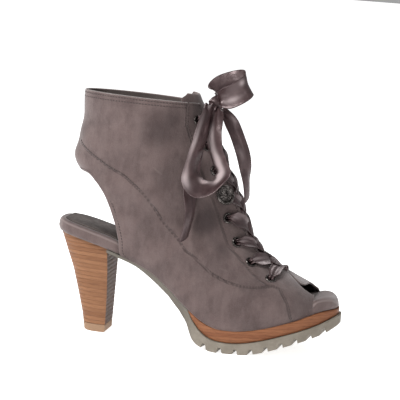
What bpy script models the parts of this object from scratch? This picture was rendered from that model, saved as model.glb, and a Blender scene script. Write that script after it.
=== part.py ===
"""A right-foot lace-up ankle boot with an open toe, an open heel, a block heel and a lugged platform sole.

Metres, +Z up, toe towards +X, inner side of the foot towards +Y. The origin is on the floor under the heel.
"""

import math

import bmesh
import bpy
import numpy as np
from mathutils import Matrix, Vector

LENGTH = 0.2406  # along the floor, from the back of the seat to the tip of the tread
HEIGHT = 0.2005  # of the collar above the floor
BALL_WIDTH = 0.086  # of the outline where the upper meets the platform
GAP = 0.0003  # between two pieces that meet
SAG = 0.0005  # that a piece stands off the faceted skin it follows
FRAME_STEP = 0.05  # rows to each side that a direction down the skin is taken over
SEAM_TURN = 0.1  # degrees from the middle plane within which a point is laid onto it
WELD = 1e-5  # under which two points of a skin are one

SLAB_MOST = 0.45  # share of a layer's width that one rounded edge may take
SLAB_ROUND = 0.35  # share of a rounded edge, across and down, where its middle point lies
SLAB_FOOT = 0.3  # share of a layer's thickness that its lower edge may take

WALL = 0.0018  # of the upper
BRIDGE = (16.0, 18.0)  # rows of LAST where the upper goes over the ridge unbroken
EXTRA_ROWS = (5.4, 15.5, 16.3, 17.7)  # of the upper's grid, beside the bridge and over the heel opening
SECTION_STEPS = 7  # of the upper's grid up to SHARED_TURN, and EDGE_STEPS beyond it
EDGE_STEPS = 3
SHARED_TURN = 104.0
SHARED_MOST = 0.9  # share of a section that may lie before SHARED_TURN

TONGUE_WALL = 0.0018
TONGUE_ROWS = (-0.75, 0, 1.3, 2.6, 4, 5.5, 7, 9, 11, 12.5, 14, 15.6)  # rows of LAST, from above the collar
TONGUE_TURN = 46.0  # degrees of the section that it covers to each side, at the collar
TONGUE_TOE_TURN = 26.0  # and at its lower end
TONGUE_CORNER = 0.72  # share of its width that is left at its rounded top
TONGUE_STEPS = 5

BOARD_ROUND = 0.0042  # of the board's wrapped upper edge, inwards
BOARD_DROP = 0.8  # share of BOARD_ROUND that the edge falls
BOARD_UNDER = (2.2, 2.0)  # times both where the upper covers the board
STEP_AT = 0.078  # share of LENGTH where the upper starts to cover the board
FRONT_AT = 0.777  # share of LENGTH where it ends
COVER_BLEND = 0.0040  # over which the board's edge narrows behind that
STEP_WIDTH = 0.0002  # of the step in the board's side there
SOCK_THICK = 0.0014
SOCK_INSET = 0.0042  # of the sock's edge inside the board's
SOCK_UNDER_INSET = 0.0104  # and inside the upper
SOCK_LIFT = 0.00054  # above the board
SOCK_EDGE = (0.0012, 0.0006)  # of its rounded edge, across and down

WOOD_OUT = 0.0008  # of the platform's side beyond the outline
WOOD_AT = 0.348  # share of LENGTH where the platform starts
WOOD_EDGE = (0.0006, 0.0005)
TREAD_OUT = 0.0028  # of the tread's side beyond the outline
TREAD_WIDENS = (0.335, 0.385)  # shares of LENGTH between which it gets there
TREAD_STEPS = (0.3375, 0.355)  # shares of LENGTH where it has a section more
TREAD_EDGE = (0.0012, 0.0010)
LUG_DEPTH = 0.0042
LUG_GROOVE = 0.0038  # along the sole, at the floor
LUG_SLOPE = 0.0010  # that a groove narrows by on each side, at its root
LUG_AT = 0.414  # share of LENGTH where the first groove is
LUG_PITCH = 0.0132
LUG_CLOSER = 0.965  # of each pitch to the one behind it
LUG_END = 0.006  # left plain at the tip
LUG_SHALLOW = 0.45  # share of the rubber's thickness that a groove takes where the rubber is thin

CAP_HEIGHT = 0.0066  # of the heel's replaceable lift
CAP_EDGE = (0.0004, 0.0006)  # of its lower edge, inwards and up
HEEL_LEVELS = (0.07, 0.15, 0.2544, 0.333)  # shares of HEIGHT of the block's sections
HEEL_STEPS = 14  # round a section
HEEL_BACK = 0.62  # powers that round its back
HEEL_SIDE = 0.92

EYELETS = 8  # on each side
EYELET_RADIUS = 0.0044
EYELET_BORE = 0.0027
EYELET_FLANGE = 0.0009
EYELET_ROUND = (0.0006, 0.0004, 0.0005)  # of the flange: outer edge, inner edge across and down
BARREL = EYELET_BORE + 0.0005  # outer radius of an eyelet's barrel
EYELET_TURN = (32.0, 32.0, 32.0, 33.5, 35.0, 33.5, 36.0, 33.5)  # degrees from the ridge, collar first
EYELET_ROW = (1.2, 2.8, 4.4, 7.3, 9.5, 11.9, 14.7, 17.5)  # place down the last, collar first
EYELET_SIDES = 12
CUTTER_OVER = 0.004

RIBBON_THICK = 0.0010
BAR_WIDTH = 0.0085
BAR_LIFT = 0.0045  # of the first lace's middle above the upper
BAR_CROSS = 0.0022  # that the second lace lies above the first where they cross
BAR_STEPS = 8  # from one pair of eyelets to the next
MEDAL_EYELET = 3  # the eyelet that carries the round ornament, from the collar
MEDAL_RADIUS = 0.0080
MEDAL_THICK = 0.0018
MEDAL_ROUND = (0.0010, 0.4)  # of its face's edge: inwards, and the share of its thickness
MEDAL_BASE = BAR_LIFT + 0.0012  # of the ornament's back above the upper
MEDAL_SIDES = 20

KNOT = (0.0060, 0.0060, 0.0070)  # half sizes of the knot
KNOT_AT = (0.0884, -0.0042, 0.1976)
KNOT_SIDES = (10, 7)
BOW_WIDTH = 0.0200
TAIL_WIDTH = 0.0120
ROOT_LIFT = 0.0006  # from the knot's skin to a ribbon's end
GATHERED = 0.3  # share of a ribbon's width at the knot
GATHER_REACH = 0.036
BOW_STEPS = 3  # of a ribbon between two rows of its table

ZIP_TURN = 96.0  # degrees round the inner side
ZIP_ROWS = (0.35, 8.4)
ZIP_STEPS = 16
ZIP_WIDTH = 0.0090
ZIP_THICK = 0.0010
TEETH_WIDTH = 0.0034
TEETH_THICK = 0.0009
SLIDER_ROW = 0.9
SLIDER_SIZE = (0.0078, 0.0026, 0.0100)  # along the foot, outwards, upwards
PIN_DROP = 0.0020  # of the pin below the slider's middle
PIN_RADIUS = 0.00075
PIN_SIDES = 16
LUG_WIDTH = 0.0012  # of the slider's two lugs, that hold the pin
LUG_HEIGHT = 0.0030
LUG_OUT = 0.0024
EYE_BORE = 0.00086
EYE_RADIUS = 0.0019
EYE_WIDTH = 0.0030
PULL_LENGTH = 0.0200
PULL_WIDTH = 0.0056
PULL_THICK = 0.0011
PULL_SHOULDER = (0.0042, 0.0065)  # below the pin, where the pull widens
PULL_CORNER = 0.0012
PULL_TOP = 0.6  # share of EYE_RADIUS below the pin where the pull's flat part starts

# One row per section of the last, from the collar to the upper's front edge. ridge and edge are the ends of
# the section seen from the side; turn is how far round it goes, in degrees; lateral and medial are its half
# widths from middle; front is where the throat or toe opening starts, in degrees; square is 1 for an oval.
LAST_COLUMNS = (
    "ridge_x", "ridge_z", "edge_x", "edge_z", "turn", "lateral", "medial", "middle", "front", "square",
)
LAST = (
    (0.326, 0.983, -0.093, 1.000, 180, 0.343, 0.343, 0.000, 17, 1.00),
    (0.347, 0.928, -0.093, 0.930, 180, 0.337, 0.337, 0.000, 17, 1.00),
    (0.372, 0.865, -0.095, 0.863, 180, 0.331, 0.331, 0.000, 17, 1.00),
    (0.397, 0.803, -0.104, 0.798, 180, 0.337, 0.337, 0.000, 17, 1.00),
    (0.422, 0.740, -0.115, 0.733, 180, 0.349, 0.349, 0.000, 17, 1.00),
    (0.441, 0.691, -0.101, 0.681, 180, 0.360, 0.360, 0.000, 16, 1.00),
    (0.454, 0.657, -0.052, 0.671, 144, 0.372, 0.372, 0.000, 16, 1.00),
    (0.466, 0.628, -0.012, 0.634, 132, 0.381, 0.377, 0.003, 15, 1.00),
    (0.478, 0.595, 0.022, 0.586, 127, 0.387, 0.379, 0.006, 15, 1.00),
    (0.492, 0.555, 0.047, 0.530, 124, 0.391, 0.379, 0.008, 14, 1.00),
    (0.505, 0.514, 0.068, 0.468, 123, 0.393, 0.379, 0.010, 14, 1.00),
    (0.518, 0.474, 0.083, 0.401, 123, 0.393, 0.377, 0.012, 13, 1.00),
    (0.532, 0.443, 0.094, 0.341, 123, 0.393, 0.374, 0.013, 13, 1.00),
    (0.549, 0.416, 0.150, 0.314, 123, 0.401, 0.372, 0.014, 12, 1.00),
    (0.567, 0.392, 0.208, 0.282, 121, 0.416, 0.372, 0.015, 11, 1.00),
    (0.587, 0.371, 0.270, 0.230, 117, 0.442, 0.384, 0.016, 9, 0.98),
    (0.608, 0.354, 0.333, 0.170, 112, 0.477, 0.419, 0.017, 0, 0.95),
    (0.630, 0.341, 0.399, 0.118, 107, 0.517, 0.453, 0.019, 0, 0.92),
    (0.652, 0.329, 0.466, 0.093, 103, 0.549, 0.471, 0.021, 0, 0.88),
    (0.675, 0.315, 0.532, 0.097, 101, 0.547, 0.479, 0.026, 8, 0.84),
    (0.698, 0.300, 0.599, 0.110, 100, 0.517, 0.471, 0.035, 15, 0.80),
    (0.721, 0.286, 0.663, 0.130, 99, 0.469, 0.444, 0.047, 22, 0.76),
    (0.740, 0.273, 0.719, 0.153, 98, 0.399, 0.399, 0.058, 29, 0.72),
    (0.754, 0.261, 0.772, 0.180, 97, 0.302, 0.326, 0.070, 38, 0.70),
)
LAST_UNITS = (LENGTH, HEIGHT, LENGTH, HEIGHT, 1, BALL_WIDTH, BALL_WIDTH, BALL_WIDTH, 1, 1)

# Where the upper meets the sole, seen from above: place along the foot, outer and inner half width.
OUTLINE_COLUMNS = ("x", "lateral", "medial")
OUTLINE = (
    (-0.150, 0.052, 0.052), (-0.146, 0.105, 0.105), (-0.137, 0.174, 0.174),
    (-0.121, 0.236, 0.236), (-0.091, 0.291, 0.291), (-0.050, 0.323, 0.321),
    (0.000, 0.333, 0.328), (0.050, 0.330, 0.321), (0.100, 0.323, 0.307),
    (0.158, 0.321, 0.295), (0.216, 0.340, 0.298), (0.274, 0.374, 0.326),
    (0.333, 0.423, 0.372), (0.391, 0.477, 0.426), (0.449, 0.516, 0.470),
    (0.499, 0.521, 0.493), (0.557, 0.500, 0.502), (0.615, 0.465, 0.495),
    (0.673, 0.412, 0.477), (0.723, 0.342, 0.444), (0.761, 0.272, 0.402),
    (0.790, 0.200, 0.351), (0.810, 0.135, 0.295), (0.825, 0.074, 0.240),
    (0.835, 0.021, 0.184), (0.838, -0.019, 0.135),
)
OUTLINE_UNITS = (LENGTH, BALL_WIDTH, BALL_WIDTH)

# Heights of the layers of the sole along the foot.
LEVEL_COLUMNS = ("x", "board", "feather", "wood", "tread")
LEVELS = (
    (-0.150, 0.461, 0.418, 0.418, 0.403), (-0.137, 0.469, 0.414, 0.414, 0.400),
    (-0.108, 0.460, 0.405, 0.405, 0.391), (-0.042, 0.442, 0.388, 0.388, 0.373),
    (0.017, 0.424, 0.371, 0.371, 0.356), (0.050, 0.411, 0.358, 0.358, 0.344),
    (0.083, 0.395, 0.344, 0.344, 0.329), (0.150, 0.361, 0.313, 0.313, 0.293),
    (0.208, 0.328, 0.281, 0.281, 0.248), (0.270, 0.277, 0.229, 0.229, 0.192),
    (0.316, 0.232, 0.184, 0.184, 0.137), (0.345, 0.204, 0.157, 0.156, 0.093),
    (0.366, 0.187, 0.139, 0.117, 0.043), (0.391, 0.168, 0.119, 0.083, 0.019),
    (0.420, 0.152, 0.103, 0.059, 0.006), (0.449, 0.142, 0.094, 0.047, 0.000),
    (0.499, 0.140, 0.092, 0.043, 0.000), (0.549, 0.145, 0.096, 0.048, 0.000),
    (0.607, 0.159, 0.110, 0.063, 0.013), (0.665, 0.180, 0.130, 0.083, 0.034),
    (0.715, 0.206, 0.149, 0.101, 0.054), (0.756, 0.226, 0.169, 0.119, 0.071),
    (0.790, 0.238, 0.183, 0.135, 0.087), (0.819, 0.237, 0.189, 0.152, 0.103),
    (0.838, 0.222, 0.191, 0.164, 0.118), (0.860, 0.219, 0.192, 0.173, 0.133),
)
LEVEL_UNITS = (LENGTH, HEIGHT, HEIGHT, HEIGHT, HEIGHT)

# The heel from the floor up: its back, its breast and its half width.
HEEL_COLUMNS = ("z", "back", "breast", "half")
HEEL = (
    (0.000, -0.039, 0.044, 0.174), (0.070, -0.049, 0.045, 0.179),
    (0.150, -0.067, 0.046, 0.195), (0.254, -0.091, 0.045, 0.230),
    (0.334, -0.116, 0.043, 0.274), (0.409, -0.140, 0.042, 0.309),
)
HEEL_UNITS = (HEIGHT, LENGTH, LENGTH, BALL_WIDTH)

# The loops and ends of the bow from the knot on: place, and the way the ribbon's width runs. lean is in
# degrees from +X towards +Z seen from the side, turn in degrees out of that view.
BOW_COLUMNS = ("x", "y", "z", "lean", "turn")
LOOP_UP = (
    (0.389, -0.140, 1.007, 100, 5), (0.417, -0.169, 1.021, 112, 8), (0.446, -0.169, 1.040, 115, 8),
    (0.469, -0.134, 1.062, 115, 5), (0.474, -0.058, 1.079, 114, 0), (0.456, 0.017, 1.088, 114, -5),
    (0.426, 0.047, 1.082, 112, -8), (0.396, 0.035, 1.067, 108, -8), (0.371, 0.012, 1.045, 100, -5),
)
LOOP_DOWN = (
    (0.353, -0.203, 0.979, 180, 25), (0.346, -0.302, 0.948, 170, 58), (0.335, -0.430, 0.858, 158, 66),
    (0.324, -0.457, 0.798, 156, 66), (0.316, -0.470, 0.733, 170, 66), (0.325, -0.477, 0.686, 215, 60),
    (0.352, -0.477, 0.658, 250, 55), (0.389, -0.465, 0.654, 270, 50), (0.424, -0.442, 0.675, 300, 42),
    (0.434, -0.407, 0.715, 335, 32), (0.422, -0.384, 0.762, 355, 24), (0.406, -0.366, 0.816, 362, 20),
    (0.395, -0.334, 0.875, 366, 15), (0.390, -0.274, 0.923, 370, 12), (0.386, -0.202, 0.956, 368, 8),
)
TAIL_DOWN = (
    (0.356, -0.177, 0.936, 180, 30), (0.347, -0.238, 0.920, 182, 27), (0.337, -0.288, 0.883, 184, 24),
    (0.333, -0.323, 0.838, 186, 20), (0.325, -0.336, 0.778, 188, 17), (0.319, -0.353, 0.704, 186, 20),
    (0.320, -0.374, 0.640, 184, 25), (0.326, -0.403, 0.585, 186, 40), (0.329, -0.427, 0.537, 200, 55),
    (0.323, -0.444, 0.484, 205, 60), (0.314, -0.456, 0.426, 205, 55),
)
TAIL_FRONT = (
    (0.407, -0.084, 0.953, 226, 18), (0.431, -0.098, 0.925, 216, 15), (0.453, -0.105, 0.886, 205, 15),
    (0.474, -0.116, 0.839, 195, 20), (0.490, -0.116, 0.792, 184, 30), (0.498, -0.116, 0.743, 178, 45),
    (0.501, -0.116, 0.694, 176, 65), (0.504, -0.116, 0.649, 176, 75), (0.507, -0.116, 0.596, 176, 80),
)
BOW_UNITS = (LENGTH, BALL_WIDTH, HEIGHT, 1, 1)

COLOURS = {
    "nubuck": (0.20, 0.15, 0.135, 1.0),
    "wood": (0.50, 0.28, 0.15, 1.0),
    "rubber": (0.24, 0.22, 0.18, 1.0),
    "satin": (0.10, 0.06, 0.06, 1.0),
    "nickel": (0.25, 0.24, 0.24, 1.0),
    "sock": (0.30, 0.27, 0.25, 1.0),
    "zip": (0.08, 0.07, 0.07, 1.0),
}


def fresh_collections(name):
    """Clears the scene and gives the collections of the parts and of their cutters."""
    for obj in list(bpy.data.objects):
        bpy.data.objects.remove(obj)
    made = []
    for title, hidden in ((name, False), (name + "_cutters", True)):
        group = bpy.data.collections.new(title)
        bpy.context.scene.collection.children.link(group)
        group.hide_render = hidden
        made.append(group)
    return made


def material(kind, node):
    """The node's own Principled material."""
    made = bpy.data.materials.new(f"{node}_{kind}")
    made.use_nodes = True
    shader = made.node_tree.nodes["Principled BSDF"]
    shader.inputs["Base Color"].default_value = COLOURS[kind]
    shader.inputs["Roughness"].default_value = 0.3 if kind == "nickel" else 0.7
    shader.inputs["Metallic"].default_value = 1.0 if kind == "nickel" else 0.0
    return made


def new_object(name, kind, bm, group=None):
    """An object of the group with the mesh of bm, facing outwards."""
    bmesh.ops.recalc_face_normals(bm, faces=bm.faces)
    mesh = bpy.data.meshes.new(name)
    bm.to_mesh(mesh)
    bm.free()
    obj = bpy.data.objects.new(name, mesh)
    (group or PARTS).objects.link(obj)
    if kind:
        mesh.materials.append(material(kind, name))
    return obj


def columns(names, rows, units):
    """The columns of a table as arrays, in metres and degrees."""
    return {name: np.array([row[i] * units[i] for row in rows]) for i, name in enumerate(names)}


def cubic(values, place):
    """A smooth value between the rows of a column; past the ends it goes on straight."""
    last = len(values) - 1
    if place <= 0 or place >= last:
        near, other = (0, 1) if place <= 0 else (last, last - 1)
        return float(values[near] + (place - near) * (values[near] - values[other]) / (near - other))
    i = int(place)
    t = place - i
    p0, p1, p2, p3 = (values[min(max(k, 0), last)] for k in (i - 1, i, i + 1, i + 2))
    slopes = (2 * p1 + (p2 - p0) * t + (2 * p0 - 5 * p1 + 4 * p2 - p3) * t * t)
    return float(0.5 * (slopes + (3 * p1 - p0 - 3 * p2 + p3) * t**3))


def last_at(row):
    """The last's sizes at a place between its rows."""
    return {name: cubic(values, row) for name, values in FORM.items()}


def last_point(row, side, turn):
    """A point of the last's skin: side is -1 for the outer half and 1 for the inner, turn is in degrees."""
    at = last_at(row)
    angle = math.radians(turn)
    share = (1 - math.cos(angle)) / (1 - math.cos(math.radians(at["turn"])))
    half = at["lateral"] if side < 0 else at["medial"]
    return Vector((
        at["ridge_x"] + share * (at["edge_x"] - at["ridge_x"]),
        at["middle"] + side * half * max(math.sin(angle), 0.0) ** at["square"],
        at["ridge_z"] + share * (at["edge_z"] - at["ridge_z"]),
    ))


def last_frame(row, side, turn):
    """A point of the skin, with the way outwards, the way down the foot and the way round."""
    signed = side * turn

    def spot(r, a):
        return last_point(r, 1 if a > 0 else -1, abs(a))

    down = (spot(row + FRAME_STEP, signed) - spot(row - FRAME_STEP, signed)).normalized()
    across = (spot(row, signed + 1) - spot(row, signed - 1)).normalized()
    out = across.cross(down).normalized()
    centre = last_at(row)
    inner = Vector((
        (centre["ridge_x"] + centre["edge_x"]) / 2,
        centre["middle"],
        (centre["ridge_z"] + centre["edge_z"]) / 2,
    ))
    point = spot(row, signed)
    if out.dot(point - inner) < 0:
        out = -out
    return point, out, down, across


def skin_grid(places, turns_at, off=0.0):
    """An open sheet over both halves of the last, through the angles that turns_at gives for each row."""
    bm = bmesh.new()
    for side in (-1, 1):
        grid = []
        for row in places:
            line = []
            for turn in turns_at(row):
                point, out, _, _ = last_frame(row, side, turn)
                if turn < SEAM_TURN or turn > 180 - SEAM_TURN:
                    point.y = last_at(row)["middle"]
                    out = Vector((out.x, 0, out.z)).normalized()
                line.append(bm.verts.new(point + out * off))
            grid.append(line)
        for one, two in zip(grid, grid[1:]):
            for i in range(len(one) - 1):
                corners = (one[i], one[i + 1], two[i + 1], two[i])
                bm.faces.new(corners if side > 0 else corners[::-1])
    bmesh.ops.remove_doubles(bm, verts=bm.verts, dist=WELD)
    return bm


def solidify(obj, thickness):
    """Gives a sheet its wall, inwards."""
    wall = obj.modifiers.new("wall", "SOLIDIFY")
    wall.thickness = thickness
    wall.offset = -1.0
    wall.use_even_offset = False
    wall.use_quality_normals = True


def cut(obj, cutter):
    """Takes the cutter out of the object."""
    boolean = obj.modifiers.new("cut", "BOOLEAN")
    boolean.operation = "DIFFERENCE"
    boolean.solver = "EXACT"
    boolean.object = cutter
    cutter.hide_render = True
    cutter.display_type = "WIRE"


def loft(name, kind, rings, group=None):
    """A closed solid through rings of as many points each, with flat ends."""
    bm = bmesh.new()
    verts = [[bm.verts.new(point) for point in ring] for ring in rings]
    count = len(rings[0])
    for one, two in zip(verts, verts[1:]):
        for i in range(count):
            j = (i + 1) % count
            bm.faces.new((one[i], one[j], two[j], two[i]))
    bm.faces.new(verts[0][::-1])
    bm.faces.new(verts[-1])
    return new_object(name, kind, bm, group)


def level(name, x):
    """The height of a layer of the sole at x."""
    return float(np.interp(x, FLOORS["x"], FLOORS[name]))


def half_width(side, x, out=0.0):
    """How far the outline, widened by out, reaches to a side at x."""
    xs = PLAN["x"]
    share = (x - xs[0] + out) / (xs[-1] - xs[0] + 2 * out)
    place = xs[0] + share * (xs[-1] - xs[0])
    return float(np.interp(place, xs, PLAN["lateral" if side < 0 else "medial"])) + out


def plan_places(first, final, out=0.0, extra=()):
    """Places along the foot: the outline's own rows between two of them, and some more."""
    xs = PLAN["x"]
    scale = (xs[-1] - xs[0] + 2 * out) / (xs[-1] - xs[0])
    own = [xs[0] - out + (x - xs[0]) * scale for x in xs]
    kept = [x for x in own if first + 1e-4 < x < final - 1e-4]
    return sorted({round(x, 6) for x in [first, final, *kept, *extra]})


def slab_ring(x, out, top, bottom, inset, drop, foot=0.0):
    """A section of a layer: straight sides, and an upper edge rounded by inset across and drop down."""
    lateral, medial = half_width(-1, x, out), half_width(1, x, out)
    inset = min(inset, SLAB_MOST * (lateral + medial))
    half = SLAB_ROUND * inset
    low = min(foot, SLAB_FOOT * (top - bottom))
    return [
        (x, -lateral + foot, bottom),
        (x, -lateral, bottom + low),
        (x, -lateral, top - drop),
        (x, -lateral + half, top - SLAB_ROUND * drop),
        (x, -lateral + inset, top),
        (x, medial - inset, top),
        (x, medial - half, top - SLAB_ROUND * drop),
        (x, medial, top - drop),
        (x, medial, bottom + low),
        (x, medial - foot, bottom),
    ]


def build_upper():
    """The upper in one piece: throat, toe opening and heel opening are left out of its skin."""
    places = sorted([*range(len(LAST)), *EXTRA_ROWS])
    upper = new_object("upper", "nubuck", skin_grid(places, upper_turns))
    solidify(upper, WALL)
    cut(upper, eyelet_cutters())


def upper_turns(row):
    """The angles of the upper's grid: even as far as every row reaches, then on to the row's edge."""
    first, final = front_turn(row), min(last_at(row)["turn"], 180.0)
    shared = min(SHARED_TURN, SHARED_MOST * final)
    near = [first + (shared - first) * i / SECTION_STEPS for i in range(SECTION_STEPS + 1)]
    return near + [shared + (final - shared) * (i + 1) / EDGE_STEPS for i in range(EDGE_STEPS)]


def front_turn(row):
    """Where the upper starts beside the ridge: nowhere on the bridge between throat and toe opening."""
    if BRIDGE[0] <= row <= BRIDGE[1]:
        return 0.0
    return max(float(np.interp(row, range(len(LAST)), FORM["front"])), 0.0)


def eyelet_spots():
    """Each eyelet's name, place and frame."""
    for side, word in ((-1, "lateral"), (1, "medial")):
        for i, (row, turn) in enumerate(zip(EYELET_ROW, EYELET_TURN)):
            yield f"eyelet_{word}_{i + 1}", last_frame(row, side, turn)


def turned(profile, steps, matrix):
    """A ring of a profile of (radius, height) pairs turned round the matrix's Z."""
    bm = bmesh.new()
    rings = []
    for k in range(steps):
        angle = 2 * math.pi * k / steps
        rings.append([
            bm.verts.new(matrix @ Vector((r * math.cos(angle), r * math.sin(angle), h))) for r, h in profile
        ])
    count = len(profile)
    for k in range(steps):
        one, two = rings[k], rings[(k + 1) % steps]
        for i in range(count):
            j = (i + 1) % count
            bm.faces.new((one[i], one[j], two[j], two[i]))
    return bm


def frame_matrix(point, out, down):
    """A matrix at a point with Z outwards and X down the foot."""
    x = (down - out * down.dot(out)).normalized()
    y = out.cross(x)
    matrix = Matrix((x, y, out)).transposed().to_4x4()
    matrix.translation = point
    return matrix


def eyelet_cutters():
    """The holes for the eyelets' barrels, as one cutter."""
    bm = bmesh.new()
    for _, (point, out, down, _) in eyelet_spots():
        bmesh.ops.create_cone(
            bm, cap_ends=True, segments=EYELET_SIDES, radius1=BARREL + GAP, radius2=BARREL + GAP,
            depth=2 * CUTTER_OVER, matrix=frame_matrix(point, out, down),
        )
    return new_object("eyelet_cutters", None, bm, CUTTERS)


def build_eyelets():
    """A flanged ring in each hole."""
    lift = GAP + SAG
    top = lift + EYELET_FLANGE
    outer, inner, fall = EYELET_ROUND
    profile = (
        (BARREL, -WALL - GAP), (BARREL, lift), (EYELET_RADIUS, lift), (EYELET_RADIUS - outer, top),
        (EYELET_BORE + inner, top), (EYELET_BORE, top - fall), (EYELET_BORE, -WALL - GAP),
    )
    for name, (point, out, down, _) in eyelet_spots():
        new_object(name, "nickel", turned(profile, EYELET_SIDES, frame_matrix(point, out, down)))


def build_tongue():
    """The tongue under the throat, a wall's thickness inside the upper."""
    first, final = TONGUE_ROWS[0], TONGUE_ROWS[-1]

    def turns(row):
        share = min(max((row - first) / (final - first), 0), 1)
        corner = TONGUE_CORNER if row == first else 1.0
        reach = corner * (TONGUE_TURN + (TONGUE_TOE_TURN - TONGUE_TURN) * share)
        return [reach * i / TONGUE_STEPS for i in range(TONGUE_STEPS + 1)]

    tongue = new_object("tongue", "nubuck", skin_grid(TONGUE_ROWS, turns, -(WALL + GAP + SAG)))
    solidify(tongue, TONGUE_WALL)


def board_ring(x):
    """A section of the wrapped board: full where it shows, a step narrower inside the upper."""
    shows = x < STEP_AT * LENGTH or x > FRONT_AT * LENGTH
    out = 0.0 if shows else -(WALL + GAP + SAG)
    under = 0.0 if shows else min((FRONT_AT * LENGTH - x) / COVER_BLEND, 1.0)
    inset = BOARD_ROUND * (1 + (BOARD_UNDER[0] - 1) * under)
    drop = BOARD_ROUND * BOARD_DROP * (1 + (BOARD_UNDER[1] - 1) * under)
    return slab_ring(x, out, level("board", x), level("feather", x) + GAP, inset, drop)


def build_board():
    """The wrapped board that the foot stands on."""
    xs = PLAN["x"]
    extra = [share * LENGTH + d for share in (STEP_AT, FRONT_AT) for d in (-STEP_WIDTH, STEP_WIDTH)]
    loft("board", "nubuck", [board_ring(x) for x in plan_places(xs[0], xs[-1], 0.0, extra)])


def build_sock():
    """The sock that lines the board, inset from its edge all round."""
    xs = PLAN["x"]
    rings = []
    for x in plan_places(xs[0] + SOCK_INSET, xs[-1] - 2 * SOCK_INSET, -SOCK_INSET):
        bottom = level("board", x) + SOCK_LIFT
        inside = STEP_AT * LENGTH - SOCK_EDGE[0] < x < FRONT_AT * LENGTH + SOCK_EDGE[0]
        inset = SOCK_UNDER_INSET if inside else SOCK_INSET
        rings.append(slab_ring(x, -inset, bottom + SOCK_THICK, bottom, *SOCK_EDGE))
    loft("sock", "sock", rings)


def build_platform():
    """The wooden platform under the forefoot."""
    rings = []
    for x in plan_places(WOOD_AT * LENGTH, PLAN["x"][-1] + WOOD_OUT, WOOD_OUT):
        rings.append(slab_ring(x, WOOD_OUT, level("feather", x) - GAP / 2, level("wood", x), *WOOD_EDGE))
    loft("platform", "wood", rings)


def tread_places():
    """Places along the tread with the depth of the groove there: its own rows, and four at each groove."""
    final = PLAN["x"][-1] + TREAD_OUT
    grooves = []
    centre, pitch = LUG_AT * LENGTH, LUG_PITCH
    while centre < final - LUG_END:
        grooves.append(centre)
        centre, pitch = centre + pitch, pitch * LUG_CLOSER
    half = LUG_GROOVE / 2
    first = float(BLOCK["breast"][-1]) + GAP
    plain = plan_places(first, final, TREAD_OUT, [share * LENGTH for share in TREAD_STEPS])
    marks = [(x, 0.0) for x in plain if all(abs(x - c) > half + LUG_SLOPE for c in grooves)]
    for c in grooves:
        marks += [(c - half, 0.0), (c - half + LUG_SLOPE, 1.0), (c + half - LUG_SLOPE, 1.0), (c + half, 0.0)]
    return sorted(marks)


def build_tread():
    """The rubber: thin under the arch, thick and lugged under the forefoot."""
    rings = []
    for x, groove in tread_places():
        out = TREAD_OUT * float(np.interp(x / LENGTH, TREAD_WIDENS, (0, 1)))
        top = (level("wood", x) if x > WOOD_AT * LENGTH else level("feather", x)) - GAP
        room = top - level("tread", x)
        depth = min(LUG_DEPTH, LUG_SHALLOW * room)
        rings.append(slab_ring(x, out, top, level("tread", x) + groove * depth, *TREAD_EDGE, TREAD_EDGE[1]))
    loft("outsole", "rubber", rings)


def heel_ring(z, follow=False, inset=0.0):
    """A section of the heel: flat breast, rounded back. follow lays it against the board's underside."""
    back, breast, half = (float(np.interp(z, BLOCK["z"], BLOCK[c])) for c in ("back", "breast", "half"))
    ring = []
    for k in range(HEEL_STEPS + 1):
        angle = math.pi * (k / HEEL_STEPS - 0.5)
        x = breast - inset - (breast - back - 2 * inset) * max(math.cos(angle), 0.0) ** HEEL_BACK
        y = (half - inset) * math.copysign(abs(math.sin(angle)) ** HEEL_SIDE, math.sin(angle))
        ring.append((x, y, level("feather", x) - GAP if follow else z))
    return ring


def build_heel():
    """The stacked heel and its lift."""
    lift = [heel_ring(0.0, inset=CAP_EDGE[0]), heel_ring(CAP_EDGE[1]), heel_ring(CAP_HEIGHT - GAP)]
    loft("heel_lift", "rubber", lift)
    rings = [heel_ring(z) for z in (CAP_HEIGHT, *(share * HEIGHT for share in HEEL_LEVELS))]
    loft("heel_block", "wood", [*rings, heel_ring(BLOCK["z"][-1], follow=True)])


def strip(name, kind, path, wide, width, thick, gathered=1.0):
    """A flat band along a path; wide gives its width direction, and near the knot it is gathered."""
    rings = []
    count = len(path)
    for i, point in enumerate(path):
        ahead, behind = path[min(i + 1, count - 1)], path[max(i - 1, 0)]
        along = (ahead - behind).normalized()
        across = (wide[i] - along * wide[i].dot(along)).normalized()
        up = across.cross(along)
        open_out = min((point - Vector(KNOT_AT)).length / GATHER_REACH, 1.0)
        a, b = across * width / 2 * (gathered + (1 - gathered) * open_out), up * thick / 2
        rings.append([point - a - b, point + a - b, point + a + b, point - a + b])
    return loft(name, kind, rings)


def build_bars():
    """The two laces up the throat: each goes from side to side and passes over the ridge between eyelets."""
    for which, name in ((0, "lace_first"), (1, "lace_second")):
        path, wide = [], []
        for i in range((EYELETS - 1) * BAR_STEPS + BAR_STEPS // 2):
            place = EYELETS - 1 - i / BAR_STEPS
            row = cubic(EYELET_ROW, place)
            swing = math.cos(math.pi * (i / BAR_STEPS + which))
            turn = float(np.interp(place, range(EYELETS), EYELET_TURN)) * swing
            point, out, down, _ = last_frame(row, 1 if turn > 0 else -1, abs(turn))
            path.append(point + out * (BAR_LIFT + (1 - swing**2) * which * BAR_CROSS))
            wide.append(down)
        strip(name, "satin", path, wide, BAR_WIDTH, RIBBON_THICK)


def knot_side(towards, lift):
    """The point a lift above the knot's skin, in the direction of another point."""
    centre = Vector(KNOT_AT)
    way = (towards - centre).normalized()
    reach = 1 / math.sqrt(sum((w / half) ** 2 for w, half in zip(way, KNOT)))
    return centre + way * (reach + lift)


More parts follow.
